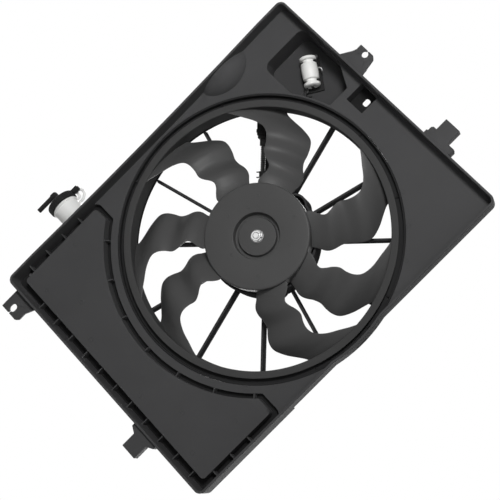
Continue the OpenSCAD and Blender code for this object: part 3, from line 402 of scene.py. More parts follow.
def row_tree():
    """Repeats one shape along a straight line."""
    name = "ShapesInARow"
    if name in bpy.data.node_groups:
        return bpy.data.node_groups[name]
    tree, given, out = new_tree(name, [
        ("Shape", "NodeSocketObject", None),
        ("Count", "NodeSocketInt", 10),
        ("Start", "NodeSocketVector", (0.0, 0.0, 0.0)),
        ("Step", "NodeSocketVector", (0.002, 0.0, 0.0)),
        ("Material", "NodeSocketMaterial", None),
    ])
    n, link = tree.nodes, tree.links.new
    shape, line, put = n.new("GeometryNodeObjectInfo"), n.new("GeometryNodeMeshLine"), n.new("GeometryNodeInstanceOnPoints")
    line.mode = "OFFSET"
    link(given.outputs["Count"], line.inputs["Count"])
    link(given.outputs["Start"], line.inputs["Start Location"])
    link(given.outputs["Step"], line.inputs["Offset"])
    link(given.outputs["Shape"], shape.inputs["Object"])
    link(line.outputs["Mesh"], put.inputs["Points"])
    link(shape.outputs["Geometry"], put.inputs["Instance"])
    return close_tree(tree, given, out, put.outputs["Instances"])


def ring_tree():
    """Repeats one shape evenly round an axis."""
    name = "ShapesInARing"
    if name in bpy.data.node_groups:
        return bpy.data.node_groups[name]
    tree, given, out = new_tree(name, [
        ("Shape", "NodeSocketObject", None),
        ("Count", "NodeSocketInt", 12),
        ("Axis", "NodeSocketVector", (0.0, 0.0, 1.0)),
        ("Centre", "NodeSocketVector", (0.0, 0.0, 0.0)),
        ("First Angle", "NodeSocketFloat", 0.0),
        ("Material", "NodeSocketMaterial", None),
    ])
    n, link = tree.nodes, tree.links.new
    shape, line, put = n.new("GeometryNodeObjectInfo"), n.new("GeometryNodeMeshLine"), n.new("GeometryNodeInstanceOnPoints")
    link(given.outputs["Count"], line.inputs["Count"])
    link(given.outputs["Centre"], line.inputs["Start Location"])
    line.inputs["Offset"].default_value = (0.0, 0.0, 0.0)
    index, share, angle, turn = n.new("GeometryNodeInputIndex"), n.new("ShaderNodeMath"), n.new("ShaderNodeMath"), n.new("FunctionNodeAxisAngleToRotation")
    share.operation = "DIVIDE"
    link(index.outputs[0], share.inputs[0])
    link(given.outputs["Count"], share.inputs[1])
    angle.operation = "MULTIPLY_ADD"
    angle.inputs[1].default_value = 2 * math.pi
    link(share.outputs[0], angle.inputs[0])
    link(given.outputs["First Angle"], angle.inputs[2])
    link(given.outputs["Axis"], turn.inputs["Axis"])
    link(angle.outputs[0], turn.inputs["Angle"])
    link(given.outputs["Shape"], shape.inputs["Object"])
    link(line.outputs["Mesh"], put.inputs["Points"])
    link(shape.outputs["Geometry"], put.inputs["Instance"])
    link(turn.outputs["Rotation"], put.inputs["Rotation"])
    return close_tree(tree, given, out, put.outputs["Instances"])


def grown(tree, values, base=None):
    """Runs a tree on a base mesh and gives back the result as a plain mesh."""
    carrier = add_object("Carrier", base or bpy.data.meshes.new("CarrierBase"))
    growth = carrier.modifiers.new("Growth", "NODES")
    growth.node_group = tree
    for item in tree.interface.items_tree:
        if item.item_type == "SOCKET" and item.in_out == "INPUT" and item.name in values:
            growth[item.identifier] = values[item.name]
    bpy.context.view_layer.update()
    seen = bpy.context.evaluated_depsgraph_get()
    mesh = bpy.data.meshes.new_from_object(carrier.evaluated_get(seen), depsgraph=seen)
    bpy.data.objects.remove(carrier)
    return mesh


def pattern(tree, mesh, values, base=None):
    """Repeats a mesh by a tree, and removes the single shape."""
    single = add_object("Single", mesh)
    out = grown(tree, {**values, "Shape": single}, base)
    bpy.data.objects.remove(single)
    return out


def places(spots):
    """Points for the placing tree: each a place in millimetres and a turn."""
    mesh = bpy.data.meshes.new("Places")
    mesh.from_pydata([Vector(place) * MM for place, _ in spots], [], [])
    turns = mesh.attributes.new("turn", "FLOAT_VECTOR", "POINT")
    for i, (_, turn) in enumerate(spots):
        turns.data[i].vector = turn
    return mesh


# Shader groups shared by the materials

def new_group(name, inputs, outputs):
    group = bpy.data.node_groups.new(name, "ShaderNodeTree")
    for label, kind, value in inputs:
        socket = group.interface.new_socket(label, in_out="INPUT", socket_type=kind)
        socket.default_value = value
    for label, kind in outputs:
        group.interface.new_socket(label, in_out="OUTPUT", socket_type=kind)
    return group


def moulded_surface():
    """Spark-eroded grain, slow cloudiness and a rubbed sheen of a plastic moulding, with painted shade in its deep
    front-facing recesses.
    """
    group = bpy.data.node_groups.get("MouldedSurface")
    if group:
        return group
    group = new_group(
        "MouldedSurface",
        [
            ("Colour", "NodeSocketColor", (0.05, 0.05, 0.05, 1)),
            ("Rough", "NodeSocketFloat", 0.5),
            ("Grain Size", "NodeSocketFloat", 1500.0),
            ("Grain Depth", "NodeSocketFloat", 0.3),
            ("Cloud", "NodeSocketFloat", 0.15),
            ("Painted Shade", "NodeSocketFloat", 0.0),
        ],
        [("Colour", "NodeSocketColor"), ("Rough", "NodeSocketFloat"), ("Normal", "NodeSocketVector")],
    )
    n, link = group.nodes, group.links.new
    given, out = n.new("NodeGroupInput"), n.new("NodeGroupOutput")
    place = n.new("ShaderNodeTexCoord")
    grain = n.new("ShaderNodeTexNoise")
    grain.inputs["Detail"].default_value = 3
    link(place.outputs["Object"], grain.inputs["Vector"])
    link(given.outputs["Grain Size"], grain.inputs["Scale"])
    bump = n.new("ShaderNodeBump")
    bump.inputs["Distance"].default_value = 0.0002
    link(given.outputs["Grain Depth"], bump.inputs["Strength"])
    link(grain.outputs["Fac"], bump.inputs["Height"])
    cloud = n.new("ShaderNodeTexNoise")
    cloud.inputs["Scale"].default_value = 14
    cloud.inputs["Detail"].default_value = 5
    cloud.inputs["Roughness"].default_value = 0.6
    link(place.outputs["Object"], cloud.inputs["Vector"])
    centred = n.new("ShaderNodeMath")
    centred.operation = "SUBTRACT"
    centred.inputs[1].default_value = 0.5
    link(cloud.outputs["Fac"], centred.inputs[0])
    amount = n.new("ShaderNodeMath")
    amount.operation = "MULTIPLY"
    link(centred.outputs[0], amount.inputs[0])
    link(given.outputs["Cloud"], amount.inputs[1])
    shift = n.new("ShaderNodeMath")
    shift.operation = "MULTIPLY_ADD"
    shift.inputs[1].default_value = 2.0
    shift.inputs[2].default_value = 1.0
    link(amount.outputs[0], shift.inputs[0])
    # Painted shade: faces turned to the front (-Y) are darkened by up to the given amount where they lie deeper than
    # 24.5 mm, fully from 30.5 mm, easing back to a quarter from 43 to 56 mm.
    depth, facing = n.new("ShaderNodeSeparateXYZ"), n.new("ShaderNodeSeparateXYZ")
    link(place.outputs["Object"], depth.inputs[0])
    link(n.new("ShaderNodeNewGeometry").outputs["Normal"], facing.inputs[0])
    shade = given.outputs["Painted Shade"]
    for source, low, high, first, last in ((depth, 0.0245, 0.0305, 0, 1), (depth, 0.043, 0.056, 1, 0.25), (facing, -0.2, -0.7, 0, 1)):
        ramp, product = n.new("ShaderNodeMapRange"), n.new("ShaderNodeMath")
        for label, value in (("From Min", low), ("From Max", high), ("To Min", first), ("To Max", last)):
            ramp.inputs[label].default_value = value
        link(source.outputs["Y"], ramp.inputs["Value"])
        product.operation = "MULTIPLY"
        link(shade, product.inputs[0])
        link(ramp.outputs[0], product.inputs[1])
        shade = product.outputs[0]
    kept = n.new("ShaderNodeMath")
    kept.operation = "SUBTRACT"
    kept.inputs[0].default_value = 1.0
    link(shade, kept.inputs[1])
    lit = n.new("ShaderNodeMath")
    lit.operation = "MULTIPLY"
    link(shift.outputs[0], lit.inputs[0])
    link(kept.outputs[0], lit.inputs[1])
    tone = n.new("ShaderNodeVectorMath")
    tone.operation = "SCALE"
    link(given.outputs["Colour"], tone.inputs[0])
    link(lit.outputs[0], tone.inputs["Scale"])
    rough = n.new("ShaderNodeMath")
    rough.operation = "MULTIPLY_ADD"
    rough.inputs[1].default_value = 0.6
    rough.use_clamp = True
    link(amount.outputs[0], rough.inputs[0])
    link(given.outputs["Rough"], rough.inputs[2])
    link(tone.outputs[0], out.inputs["Colour"])
    link(rough.outputs[0], out.inputs["Rough"])
    link(bump.outputs[0], out.inputs["Normal"])
    return group


def metal_surface():
    """Fine rolling marks, speckle and stains of a plated or turned metal."""
    group = bpy.data.node_groups.get("MetalSurface")
    if group:
        return group
    group = new_group(
        "MetalSurface",
        [
            ("Colour", "NodeSocketColor", (0.6, 0.6, 0.6, 1)),
            ("Stain", "NodeSocketColor", (0.3, 0.28, 0.25, 1)),
            ("Stain Amount", "NodeSocketFloat", 0.3),
            ("Rough", "NodeSocketFloat", 0.3),
            ("Mark Size", "NodeSocketFloat", 900.0),
            ("Mark Depth", "NodeSocketFloat", 0.15),
        ],
        [("Colour", "NodeSocketColor"), ("Rough", "NodeSocketFloat"), ("Normal", "NodeSocketVector")],
    )
    n, link = group.nodes, group.links.new
    given, out = n.new("NodeGroupInput"), n.new("NodeGroupOutput")
    place = n.new("ShaderNodeTexCoord")
    stretch = n.new("ShaderNodeMapping")
    stretch.inputs["Scale"].default_value = (1.0, 0.12, 1.0)
    link(place.outputs["Object"], stretch.inputs["Vector"])
    marks = n.new("ShaderNodeTexNoise")
    marks.inputs["Detail"].default_value = 4
    link(stretch.outputs[0], marks.inputs["Vector"])
    link(given.outputs["Mark Size"], marks.inputs["Scale"])
    bump = n.new("ShaderNodeBump")
    bump.inputs["Distance"].default_value = 0.0001
    link(given.outputs["Mark Depth"], bump.inputs["Strength"])
    link(marks.outputs["Fac"], bump.inputs["Height"])
    spots = n.new("ShaderNodeTexNoise")
    spots.inputs["Scale"].default_value = 90
    spots.inputs["Detail"].default_value = 6
    link(place.outputs["Object"], spots.inputs["Vector"])
    edge = n.new("ShaderNodeMapRange")
    edge.inputs["From Min"].default_value = 0.48
    edge.inputs["From Max"].default_value = 0.72
    link(spots.outputs["Fac"], edge.inputs["Value"])
    amount = n.new("ShaderNodeMath")
    amount.operation = "MULTIPLY"
    link(edge.outputs[0], amount.inputs[0])
    link(given.outputs["Stain Amount"], amount.inputs[1])
    mix = n.new("ShaderNodeMix")
    mix.data_type = "RGBA"
    link(amount.outputs[0], mix.inputs["Factor"])
    link(given.outputs["Colour"], mix.inputs["A"])
    link(given.outputs["Stain"], mix.inputs["B"])
    rough = n.new("ShaderNodeMath")
    rough.operation = "MULTIPLY_ADD"
    rough.inputs[1].default_value = 0.35
    rough.use_clamp = True
    link(amount.outputs[0], rough.inputs[0])
    link(given.outputs["Rough"], rough.inputs[2])
    link(mix.outputs["Result"], out.inputs["Colour"])
    link(rough.outputs[0], out.inputs["Rough"])
    link(bump.outputs[0], out.inputs["Normal"])
    return group


def surface_material(name, group, values, metallic=0.0, coat=0.0, gloss=0.5):
    """A Principled material whose colour, roughness and normal come from one shared group."""
    material = bpy.data.materials.get(name)
    if material:
        return material
    material = bpy.data.materials.new(name)
    material.use_nodes = True
    tree = material.node_tree
    shader = tree.nodes["Principled BSDF"]
    placed = tree.nodes.new("ShaderNodeGroup")
    placed.node_tree = group
    for label, value in values.items():
        placed.inputs[label].default_value = value
    tree.links.new(placed.outputs["Colour"], shader.inputs["Base Color"])
    tree.links.new(placed.outputs["Rough"], shader.inputs["Roughness"])
    tree.links.new(placed.outputs["Normal"], shader.inputs["Normal"])
    shader.inputs["Metallic"].default_value = metallic
    shader.inputs["Coat Weight"].default_value = coat
    shader.inputs["Specular IOR Level"].default_value = gloss
    return material


# The last argument sets how strongly painted shade darkens the deep front-facing recesses.
def plastic(name, colour, rough=0.5, grain=1500.0, depth=0.3, cloud=0.15, coat=0.0, gloss=0.5, painted_shade=0.0):
    return surface_material(
        name,
        moulded_surface(),
        {"Colour": colour, "Rough": rough, "Grain Size": grain, "Grain Depth": depth, "Cloud": cloud, "Painted Shade": painted_shade},
        coat=coat,
        gloss=gloss,
    )


def metal(name, colour, stain, amount=0.3, rough=0.3, marks=900.0, depth=0.15):
    return surface_material(
        name,
        metal_surface(),
        {
            "Colour": colour,
            "Stain": stain,
            "Stain Amount": amount,
            "Rough": rough,
            "Mark Size": marks,
            "Mark Depth": depth,
        },
        metallic=1.0,
    )


# Settings that a user would change

class FAN_PG_finish(bpy.types.PropertyGroup):
    """Colours of the mouldings"""

    shroud_tone: bpy.props.FloatProperty(name="Shroud tone", description="Brightness of the shroud's plastic", default=0.056, min=0.0, max=1.0)
    fan_tone: bpy.props.FloatProperty(name="Fan tone", description="Brightness of the fan's plastic", default=0.054, min=0.0, max=1.0)
    ceramic_tone: bpy.props.FloatProperty(name="Ceramic tone", description="Brightness of the resistor's ceramic", default=0.74, min=0.0, max=1.0)


class FAN_PG_view(bpy.types.PropertyGroup):
    """Camera and light"""

    camera_place: bpy.props.FloatVectorProperty(name="Camera place", description="Where the camera stands", default=(0.0752, -1.5210, -0.4860), size=3, unit="LENGTH")
    camera_target: bpy.props.FloatVectorProperty(name="Camera target", description="The point that the camera looks at", default=(-0.0174, 0.0003, -0.0119), size=3, unit="LENGTH")
    camera_roll: bpy.props.FloatProperty(name="Camera roll", description="How far the camera leans to its right", default=math.radians(44.26), unit="ROTATION")
    lens: bpy.props.FloatProperty(name="Lens", description="Focal length on a 36 mm sensor, in millimetres", default=91.8, min=10.0)
    floor_tone: bpy.props.FloatProperty(name="Floor tone", description="Brightness of the floor", default=0.8, min=0.0, max=1.0)
    sky: bpy.props.FloatProperty(name="Soft light", description="Strength of the light from all round", default=0.03, min=0.0)


# Operators, one for each piece or group of like pieces

class FAN_OT_stage(bpy.types.Operator):
    """Builds the floor, the lamps and the camera"""

    bl_idname = "cooling_fan.stage"
    bl_label = "Stage"

    def execute(self, context):
        view = settings("fan_view")
        scene = context.scene
        scene.view_settings.view_transform = "Standard"
        low, high = (Vector(c) for c in CAD_BOX)
        self.floor(view, low)
        self.world(view, scene)
        centre = (low + high) / 2
        place, target = Vector(view.camera_place), Vector(view.camera_target)
        turn = (target - place).to_track_quat("-Z", "Y").to_matrix().to_4x4()
        turn = turn @ Matrix.Rotation(-view.camera_roll, 4, "Z")
        camera_data = bpy.data.cameras.new("PhotoCamera")
        camera_data.lens = view.lens
        camera_data.sensor_width = 36
        camera = bpy.data.objects.new("PhotoCamera", camera_data)
        scene.collection.objects.link(camera)
        camera.matrix_world = Matrix.Translation(place) @ turn
        scene.camera = camera
        side, up, back = (turn.to_3x3() @ Vector(v) for v in ((1, 0, 0), (0, 1, 0), (0, 0, 1)))
        lamps = (
            ("KeyLamp", back * 1.8 + up * 0.85 + side * 0.1, 0.4, 29.0),
            ("FillLamp", back * 1.9 - up * 0.1 + side * 0.2, 0.8, 6.5),
            ("BackLamp", Vector((0.5, 1.9, 0.7)), 1.0, 24.0),
            ("BackFillLamp", Vector((-0.7, 1.9, -0.2)), 1.2, 14.0),
            ("TopLamp", Vector((0.2, 0.5, 2.0)), 1.2, 7.0),
        )
        for name, offset, size, power in lamps:
            lamp_data = bpy.data.lights.new(name, "AREA")
            lamp_data.shape = "DISK"
            lamp_data.size = size
            lamp_data.energy = power
            lamp = bpy.data.objects.new(name, lamp_data)
            scene.collection.objects.link(lamp)
            spot = centre + offset
            lamp.matrix_world = Matrix.Translation(spot) @ (centre - spot).to_track_quat("-Z", "Y").to_matrix().to_4x4()
        return {"FINISHED"}

    def floor(self, view, low):
        """A pale floor under the rim, seen from above only, that lets the lamps' light through."""
        mesh = bpy.data.meshes.new("Floor")
        reach, height = 3.0, low.z - MM
        mesh.from_pydata([(-reach, -reach, height), (reach, -reach, height), (reach, reach, height), (-reach, reach, height)], [], [(0, 1, 2, 3)])
        floor = add_object("Floor", mesh)
        material = bpy.data.materials.new("PaleFloor")
        material.use_nodes = True
        nodes, links = material.node_tree.nodes, material.node_tree.links
        shader, out = nodes["Principled BSDF"], nodes["Material Output"]
        shader.inputs["Base Color"].default_value = linear(view.floor_tone)
        shader.inputs["Roughness"].default_value = 0.9
        clear, facing, mix = nodes.new("ShaderNodeBsdfTransparent"), nodes.new("ShaderNodeNewGeometry"), nodes.new("ShaderNodeMixShader")
        rays, either, pale = nodes.new("ShaderNodeLightPath"), nodes.new("ShaderNodeMath"), nodes.new("ShaderNodeMath")
        pale.operation = "MULTIPLY"
        pale.inputs[1].default_value = 0.5
        links.new(self.seen(nodes, links, rays), pale.inputs[0])
        links.new(pale.outputs[0], shader.inputs["Emission Strength"])
        shader.inputs["Emission Color"].default_value = linear(1.0)
        either.operation = "MAXIMUM"
        links.new(facing.outputs["Backfacing"], either.inputs[0])
        links.new(rays.outputs["Is Shadow Ray"], either.inputs[1])
        links.new(either.outputs[0], mix.inputs["Fac"])
        links.new(shader.outputs[0], mix.inputs[1])
        links.new(clear.outputs[0], mix.inputs[2])
        links.new(mix.outputs[0], out.inputs["Surface"])
        mesh.materials.append(material)

    def seen(self, nodes, links, rays):
        """One for camera, glossy and transmission rays, nothing for the rest."""
        seen = rays.outputs["Is Camera Ray"]
        for label in ("Is Glossy Ray", "Is Transmission Ray"):
            either = nodes.new("ShaderNodeMath")
            either.operation = "ADD"
            either.use_clamp = True
            links.new(seen, either.inputs[0])
            links.new(rays.outputs[label], either.inputs[1])
            seen = either.outputs[0]
        return seen

    def world(self, view, scene):
        """White to the camera and to glossy rays, a soft grey light to the rest."""
        world = bpy.data.worlds.new("Studio")
        scene.world = world
        world.use_nodes = True
        nodes, links = world.node_tree.nodes, world.node_tree.links
        ground = nodes["Background"]
        ground.inputs["Color"].default_value = linear(1.0)
        rays, strength = nodes.new("ShaderNodeLightPath"), nodes.new("ShaderNodeMapRange")
        seen = self.seen(nodes, links, rays)
        strength.inputs["To Min"].default_value = view.sky
        strength.inputs["To Max"].default_value = 1.0
        links.new(seen, strength.inputs["Value"])
        links.new(strength.outputs[0], ground.inputs["Strength"])


class FAN_OT_mouldings(bpy.types.Operator):
    """Finishes the shroud tray, barrel and motor carrier"""

    bl_idname = "cooling_fan.mouldings"
    bl_label = "Shroud mouldings"

    def execute(self, context):
        tone = settings("fan_finish").shroud_tone
        # The shroud's plastic gets painted shade, up to 0.8, in its deep front-facing recesses.
        skin = plastic("ShroudMoulding", linear(tone, (1.0, 1.0, 1.02)), rough=0.50, grain=1400, depth=0.3, cloud=0.14, gloss=0.04, painted_shade=0.8)
        finish_eased(skin, 0.45, "moulding", ROOT_BODY, "shroud")
        # Painted shade: the motor carrier takes the shroud's plastic at 0.7 of its tone, a darker copy so that its
        # spokes look shaded.
        ribs = plastic("CarrierMouldingPaintedShade", linear(tone * 0.7, (1.0, 1.0, 1.02)), rough=0.50, grain=1400, depth=0.3, cloud=0.14, gloss=0.0)
        finish_eased(ribs, 0.45, "moulding", ROOT_BODY, "motor_carrier")
        # Painted shade: the barrel takes the shroud's plastic at 0.42 of its tone, a darker copy so that the groove
        # round the fan looks shaded.
        shade = plastic("BarrelMouldingPaintedShade", linear(tone * 0.42, (1.0, 1.0, 1.02)), rough=0.55, grain=1400, depth=0.3, cloud=0.14, gloss=0.0)
        finish_eased(shade, 0.45, "moulding", ROOT_BODY, "fan_barrel")
        marks = pattern(placed_tree(), self.mark(), {"Material": skin}, places(self.mark_spots()))
        dress(add_object("EjectorMarks", marks), skin, ROOT_BODY, "moulding")
        blocks = [brick("FootBlock", low, high, 2.4) for low, high in (
            ((RIM_RIGHT - 1.0, 5.1, -77.0), (RIM_RIGHT + 14.0, 17.5, -64.0)), ((RIM_RIGHT - 1.0, 5.1, -107.5), (RIM_RIGHT + 10.0, 17.5, -94.0)))]
        dress(add_object("FootBlocks", merged("FootBlocks", blocks)), skin, ROOT_BODY, "moulding")
        return {"FINISHED"}

    def mark(self):
        """The faint ring that an ejector pin leaves."""
        return turned("EjectorMark", rounded([(2.3, -0.4, 0.15), (3.1, -0.4, 0.15), (3.1, 0.3, 0), (2.3, 0.3, 0)], 2), steps=40)

    def mark_spots(self):
        """Pins stand on the panel round the ring and on the raised cover."""
        ring = [(192.3, a, 22.0) for a in (28, 331, 318, 305, 233, 222)]
        spots = [((r * math.cos(math.radians(a)), y, r * math.sin(math.radians(a))), (0, 0, 0)) for r, a, y in ring]
        cover = ((-246, 150), (-246, 60), (-246, -40), (-246, -140), (-178, 168), (-180, -150), (-222, 105), (-222, -95))
        return spots + [((x, 13.0, z), (0, 0, 0)) for x, z in cover]


class FAN_OT_fan(bpy.types.Operator):
    """Builds the banded fan as one smooth moulding"""

    bl_idname = "cooling_fan.fan"
    bl_label = "Fan"

    def execute(self, context):
        skin = plastic("FanMoulding", linear(settings("fan_finish").fan_tone), rough=0.42, grain=1700, depth=0.10, cloud=0.10, gloss=0.12)
        blades = pattern(placed_tree(), self.blade(), {"Material": skin}, places([((0, 0, 0), (0, -math.radians(a), 0)) for a in BLADE_ANGLES]))
        rib = merged("Rib", [brick("Rib", low, high, 0.3) for low, high in (
            ((11.8, 20.9, -1), (23.4, 30, 1)), ((22.6, 26.1, -1), (34, 30, 1)), ((33.1, 16.9, -1), (67.4, 30, 1)))])
        ribs = pattern(ring_tree(), rib, {"Count": 8, "Axis": (0, -1, 0), "Material": skin})
        marks = pattern(placed_tree(), self.mark(), {"Material": skin}, places(self.mark_spots()))
        mesh = merged("FanMoulding", [self.hub(), blades, ribs, marks])
        dress(add_object("FanMoulding", mesh), skin, ROTOR_BODY, "fan_moulding", "fan")
        dull = plastic("BandMoulding", linear(settings("fan_finish").fan_tone), rough=0.55, grain=1700, depth=0.10, cloud=0.10, gloss=0.0)
        dress(add_object("FanBand", self.band()), dull, ROTOR_BODY, "fan_moulding")
        return {"FINISHED"}

    def hub(self):
        """The hub's shell with its eased rim and the groove round its middle."""
        front, back = HUB_FRONT, HUB_BACK
        return turned("Hub", rounded([
            (7.5, front + 4, 0), (24.6, front + 4, 0.9), (25.6, front + 9.5, 0.8), (29.7, front + 9.5, 0.8), (30.5, front, 0.8),
            (HUB_R, front, 3.0), (HUB_R, back, 0.6), (HUB_R - 2.5, back, 0.6), (HUB_R - 2.5, front + 2.5, 2.0),
            (33.0, front + 2.5, 0.5), (32.2, front + 11.5, 0.5), (23.4, front + 11.5, 0.5), (22.6, front + 6.5, 0.5),
            (12.0, front + 6.5, 0.8), (12.0, 30.0, 0.5), (7.5, 30.0, 0),
        ], 5))

    def band(self):
        """The outer band with its front flange."""
        r, t, y = BAND_R, BAND_T, BAND_FRONT
        return turned("Band", rounded([
            (r + 0.2, y, 1.8), (FLANGE_R, y, 0.7), (FLANGE_R, y + 2.5, 0.7), (r + t, y + 5, 1.5),
            (r + t, y + BAND_LENGTH, 0.6), (r, y + BAND_LENGTH, 0.6), (r, y + 3.0, 3.0),
        ], 4), steps=360)

    def blade(self):
        """One swept blade: a closed skin with round edges."""
        spans, chords = 72, 22
        steps = [(1 - math.cos(math.pi * k / chords)) / 2 for k in range(chords + 1)]
        loop = [(u, -1) for u in steps] + [(u, 1) for u in reversed(steps[1:-1])]
        points, faces, count = [], [], len(loop)
        for i in range(spans + 1):
            points += [blade_point(i / spans, u, side) for u, side in loop]
        for i in range(spans):
            for j in range(count):
                k = (j + 1) % count
                faces.append((i * count + j, i * count + k, (i + 1) * count + k, (i + 1) * count + j))
        faces += [tuple(range(count)), tuple(range(spans * count, (spans + 1) * count))]
        return mesh_from("Blade", points, faces, 60.0)

    def mark(self):
        """A faint raised ring, as a mould's date insert leaves."""
        return turned("Mark", rounded([(1.4, -0.5, 0.15), (2.4, -0.5, 0.15), (2.4, 0.2, 0), (1.4, 0.2, 0)], 2), steps=32)

    def mark_spots(self):
        spots = ((39, 62), (52, 44), (46, 100), (40, 172), (52, 228), (46, 300), (54, 340))
        return [((r * math.cos(math.radians(a)), HUB_FRONT, r * math.sin(math.radians(a))), (0, 0, 0)) for r, a in spots]


class FAN_OT_fasteners(bpy.types.Operator):
    """Makes the nut, the washer and every screw"""

    bl_idname = "cooling_fan.fasteners"
    bl_label = "Nut and screws"

    def execute(self, context):
        zinc = metal("ZincPlate", linear(0.52, (1.0, 1.0, 1.02)), linear(0.30, (1.0, 0.96, 0.88)), 0.35, 0.34)
        bright = metal("BrightSteel", linear(0.70), linear(0.42), 0.2, 0.22, 1200, 0.1)
        nut = turned("FanNut", [
            (4.03, 13.3), (4.6, 12.8), (6.0, 12.8), (7.0, 13.5), (7.0, 16.2), (7.3, 16.8), (7.4, 17.2), (7.4, 17.8), (4.03, 17.8),
        ], steps=96, hexed=(3, 4))
        dress(add_object("FanNut", nut), bright, ROTOR_BODY, "bright_steel", "fan_nut")
        washer = turned("FanWasher", rounded([(4.03, 17.8, 0), (8.8, 17.8, 0.3), (8.8, 19.0, 0.3), (4.03, 19.0, 0)], 3), steps=96)
        dress(add_object("FanWasher", washer), metal("WasherSteel", linear(0.13), linear(0.07), 0.5, 0.42), ROTOR_BODY, "bright_steel", "fan_washer")
        shaft = turned("MotorShaft", [(0, 11.3), (3.2, 11.3), (4.0, 12.1), (4.0, 97.9), (3.4, 98.5), (0, 98.5)], steps=64)
        dress(add_object("MotorShaft", shaft), bright, ROTOR_BODY, "bright_steel", "motor_shaft")
        ear = [((60 * math.cos(a), 42.0, 60 * math.sin(a)), (0, 0, 0)) for a in (0, math.radians(120), math.radians(240))]
        dark = metal("StrapSteel", linear(0.10), linear(0.04), 0.5, 0.4)
        self.screws("MotorScrews", dark, "motor_screws", 2.4, 4.2, 14.0, ear)
        back = math.pi
        self.screws("EndCapScrews", zinc, "end_cap_screws", 1.9, 3.4, 6.25, [((0, 95.25, z), (0, 0, back)) for z in (37, -37)])
        x, z = RESISTOR_AT
        lug = lean(RESISTOR_LEAN) @ Vector((22.0, 0, -10.0))
        self.screws("ResistorScrews", dark, "resistor_screws", 1.75, 3.0, 2.95, [((x + s * lug.x, 57.0, z + s * lug.z), (0, 0, 0)) for s in (1, -1)])
        self.screws("ReservoirBolts", zinc, "reservoir_bolts", 2.55, 4.5, 8.0, [((p[0], 38.0, p[1]), (0, 0, back)) for p in TANK_LUGS])
        return {"FINISHED"}

    def screws(self, name, skin, node, radius, head, length, spots):
        """Pan-headed screws with a six-sided socket, each at its place."""
        rise = 2.6
        single = turned(name + "Single", [
            (0, -rise * 0.45), (head * 0.46, -rise * 0.45), (head * 0.50, -rise * 0.93), (head * 0.58, -rise), (head * 0.80, -rise),
            (head * 0.96, -rise * 0.72), (head, -rise * 0.40), (head, 0), (radius, 0), (radius, length - 1), (radius * 0.7, length), (0, length),
        ], steps=48, hexed=(1, 2))
        dress(add_object(name, pattern(placed_tree(), single, {"Material": skin}, places(spots))), skin, ROOT_BODY, "zinc_steel", node)


class FAN_OT_motor(bpy.types.Operator):
    """Finishes the motor, inside and out"""

    bl_idname = "cooling_fan.motor"
    bl_label = "Motor"

    def execute(self, context):
        zinc = metal("ZincPlate", linear(0.52), linear(0.30))
        bronze = metal("SinteredBronze", (0.45, 0.34, 0.18, 1), (0.2, 0.14, 0.08, 1), 0.4, 0.5)
        paint = plastic("CanPaint", linear(0.028), rough=0.40, grain=400, depth=0.12, cloud=0.2, gloss=0.15)
        finish_nodes(bronze, "hub_bush", "front_bearing", "rear_bearing")
        finish_nodes(zinc, "brush_springs")
        finish_eased(paint, 0.5, "can_steel", ROOT_BODY, "motor_can", "motor_flange")
        self.end_cap(zinc)
        finish_nodes(metal("CoreSteel", linear(0.35), linear(0.2), 0.4, 0.45), "armature_core")
        finish_nodes(metal("EnamelledCopper", (0.48, 0.16, 0.05, 1), (0.2, 0.06, 0.02, 1), 0.3, 0.35, 2500, 0.5), "armature_windings")
        finish_nodes(metal("TurnedCopper", (0.6, 0.3, 0.16, 1), (0.25, 0.12, 0.06, 1), 0.3, 0.3), "commutator")
        finish_nodes(plastic("Ferrite", linear(0.06), rough=0.7, grain=900, depth=0.4), "motor_magnets")
        finish_nodes(plastic("BrushCarbon", linear(0.02), rough=0.6, grain=1200, depth=0.3), "brushes")
        finish_nodes(plastic("PhenolicBoard", (0.20, 0.10, 0.04, 1), rough=0.55), "brush_plate")
        return {"FINISHED"}

    def end_cap(self, zinc):
        """The pressed end cap with its bearing boss, screw seats and stamped ribs, and the tongues crimped over its edge."""
        dish = turned("EndCap", rounded([
            (8.05, 92.0, 0), (44.0, 92.0, 0.4), (44.0, 94.0, 1.2), (33.0, 94.0, 1.5), (30.0, 94.9, 1.5), (18.0, 94.9, 1.5),
            (14.5, 94.0, 1.2), (13.0, 95.5, 1.0), (13.0, 101.0, 1.6), (0, 101.0, 0), (0, 99.55, 0), (8.05, 99.55, 0),
        ], 4), steps=160)
        seats = [turned("Seat", rounded([(1.95, 93.0, 0), (4.9, 93.0, 0), (4.65, 95.25, 0.5), (1.95, 95.25, 0)], 3), steps=48, centre=(0, 0, z)) for z in (37, -37)]
        rib = pattern(ring_tree(), brick("StampedRib", (16.5, 93.6, -1.6), (29.5, 95.6, 1.6), 0.8), {"Count": 6, "Axis": (0, -1, 0), "First Angle": math.radians(30), "Material": zinc})
        dress(add_object("EndCap", merged("EndCap", [dish, rib] + seats)), zinc, ROOT_BODY, "zinc_steel", "motor_end_cap")
        tongue = pattern(ring_tree(), brick("Tongue", (40.5, 92.4, -4), (44.0, 94.7, 4), 0.5), {"Count": 4, "Axis": (0, -1, 0), "First Angle": math.radians(45), "Material": zinc})
        dress(add_object("CrimpTongues", tongue), bpy.data.materials["CanPaint"], ROOT_BODY, "can_steel")


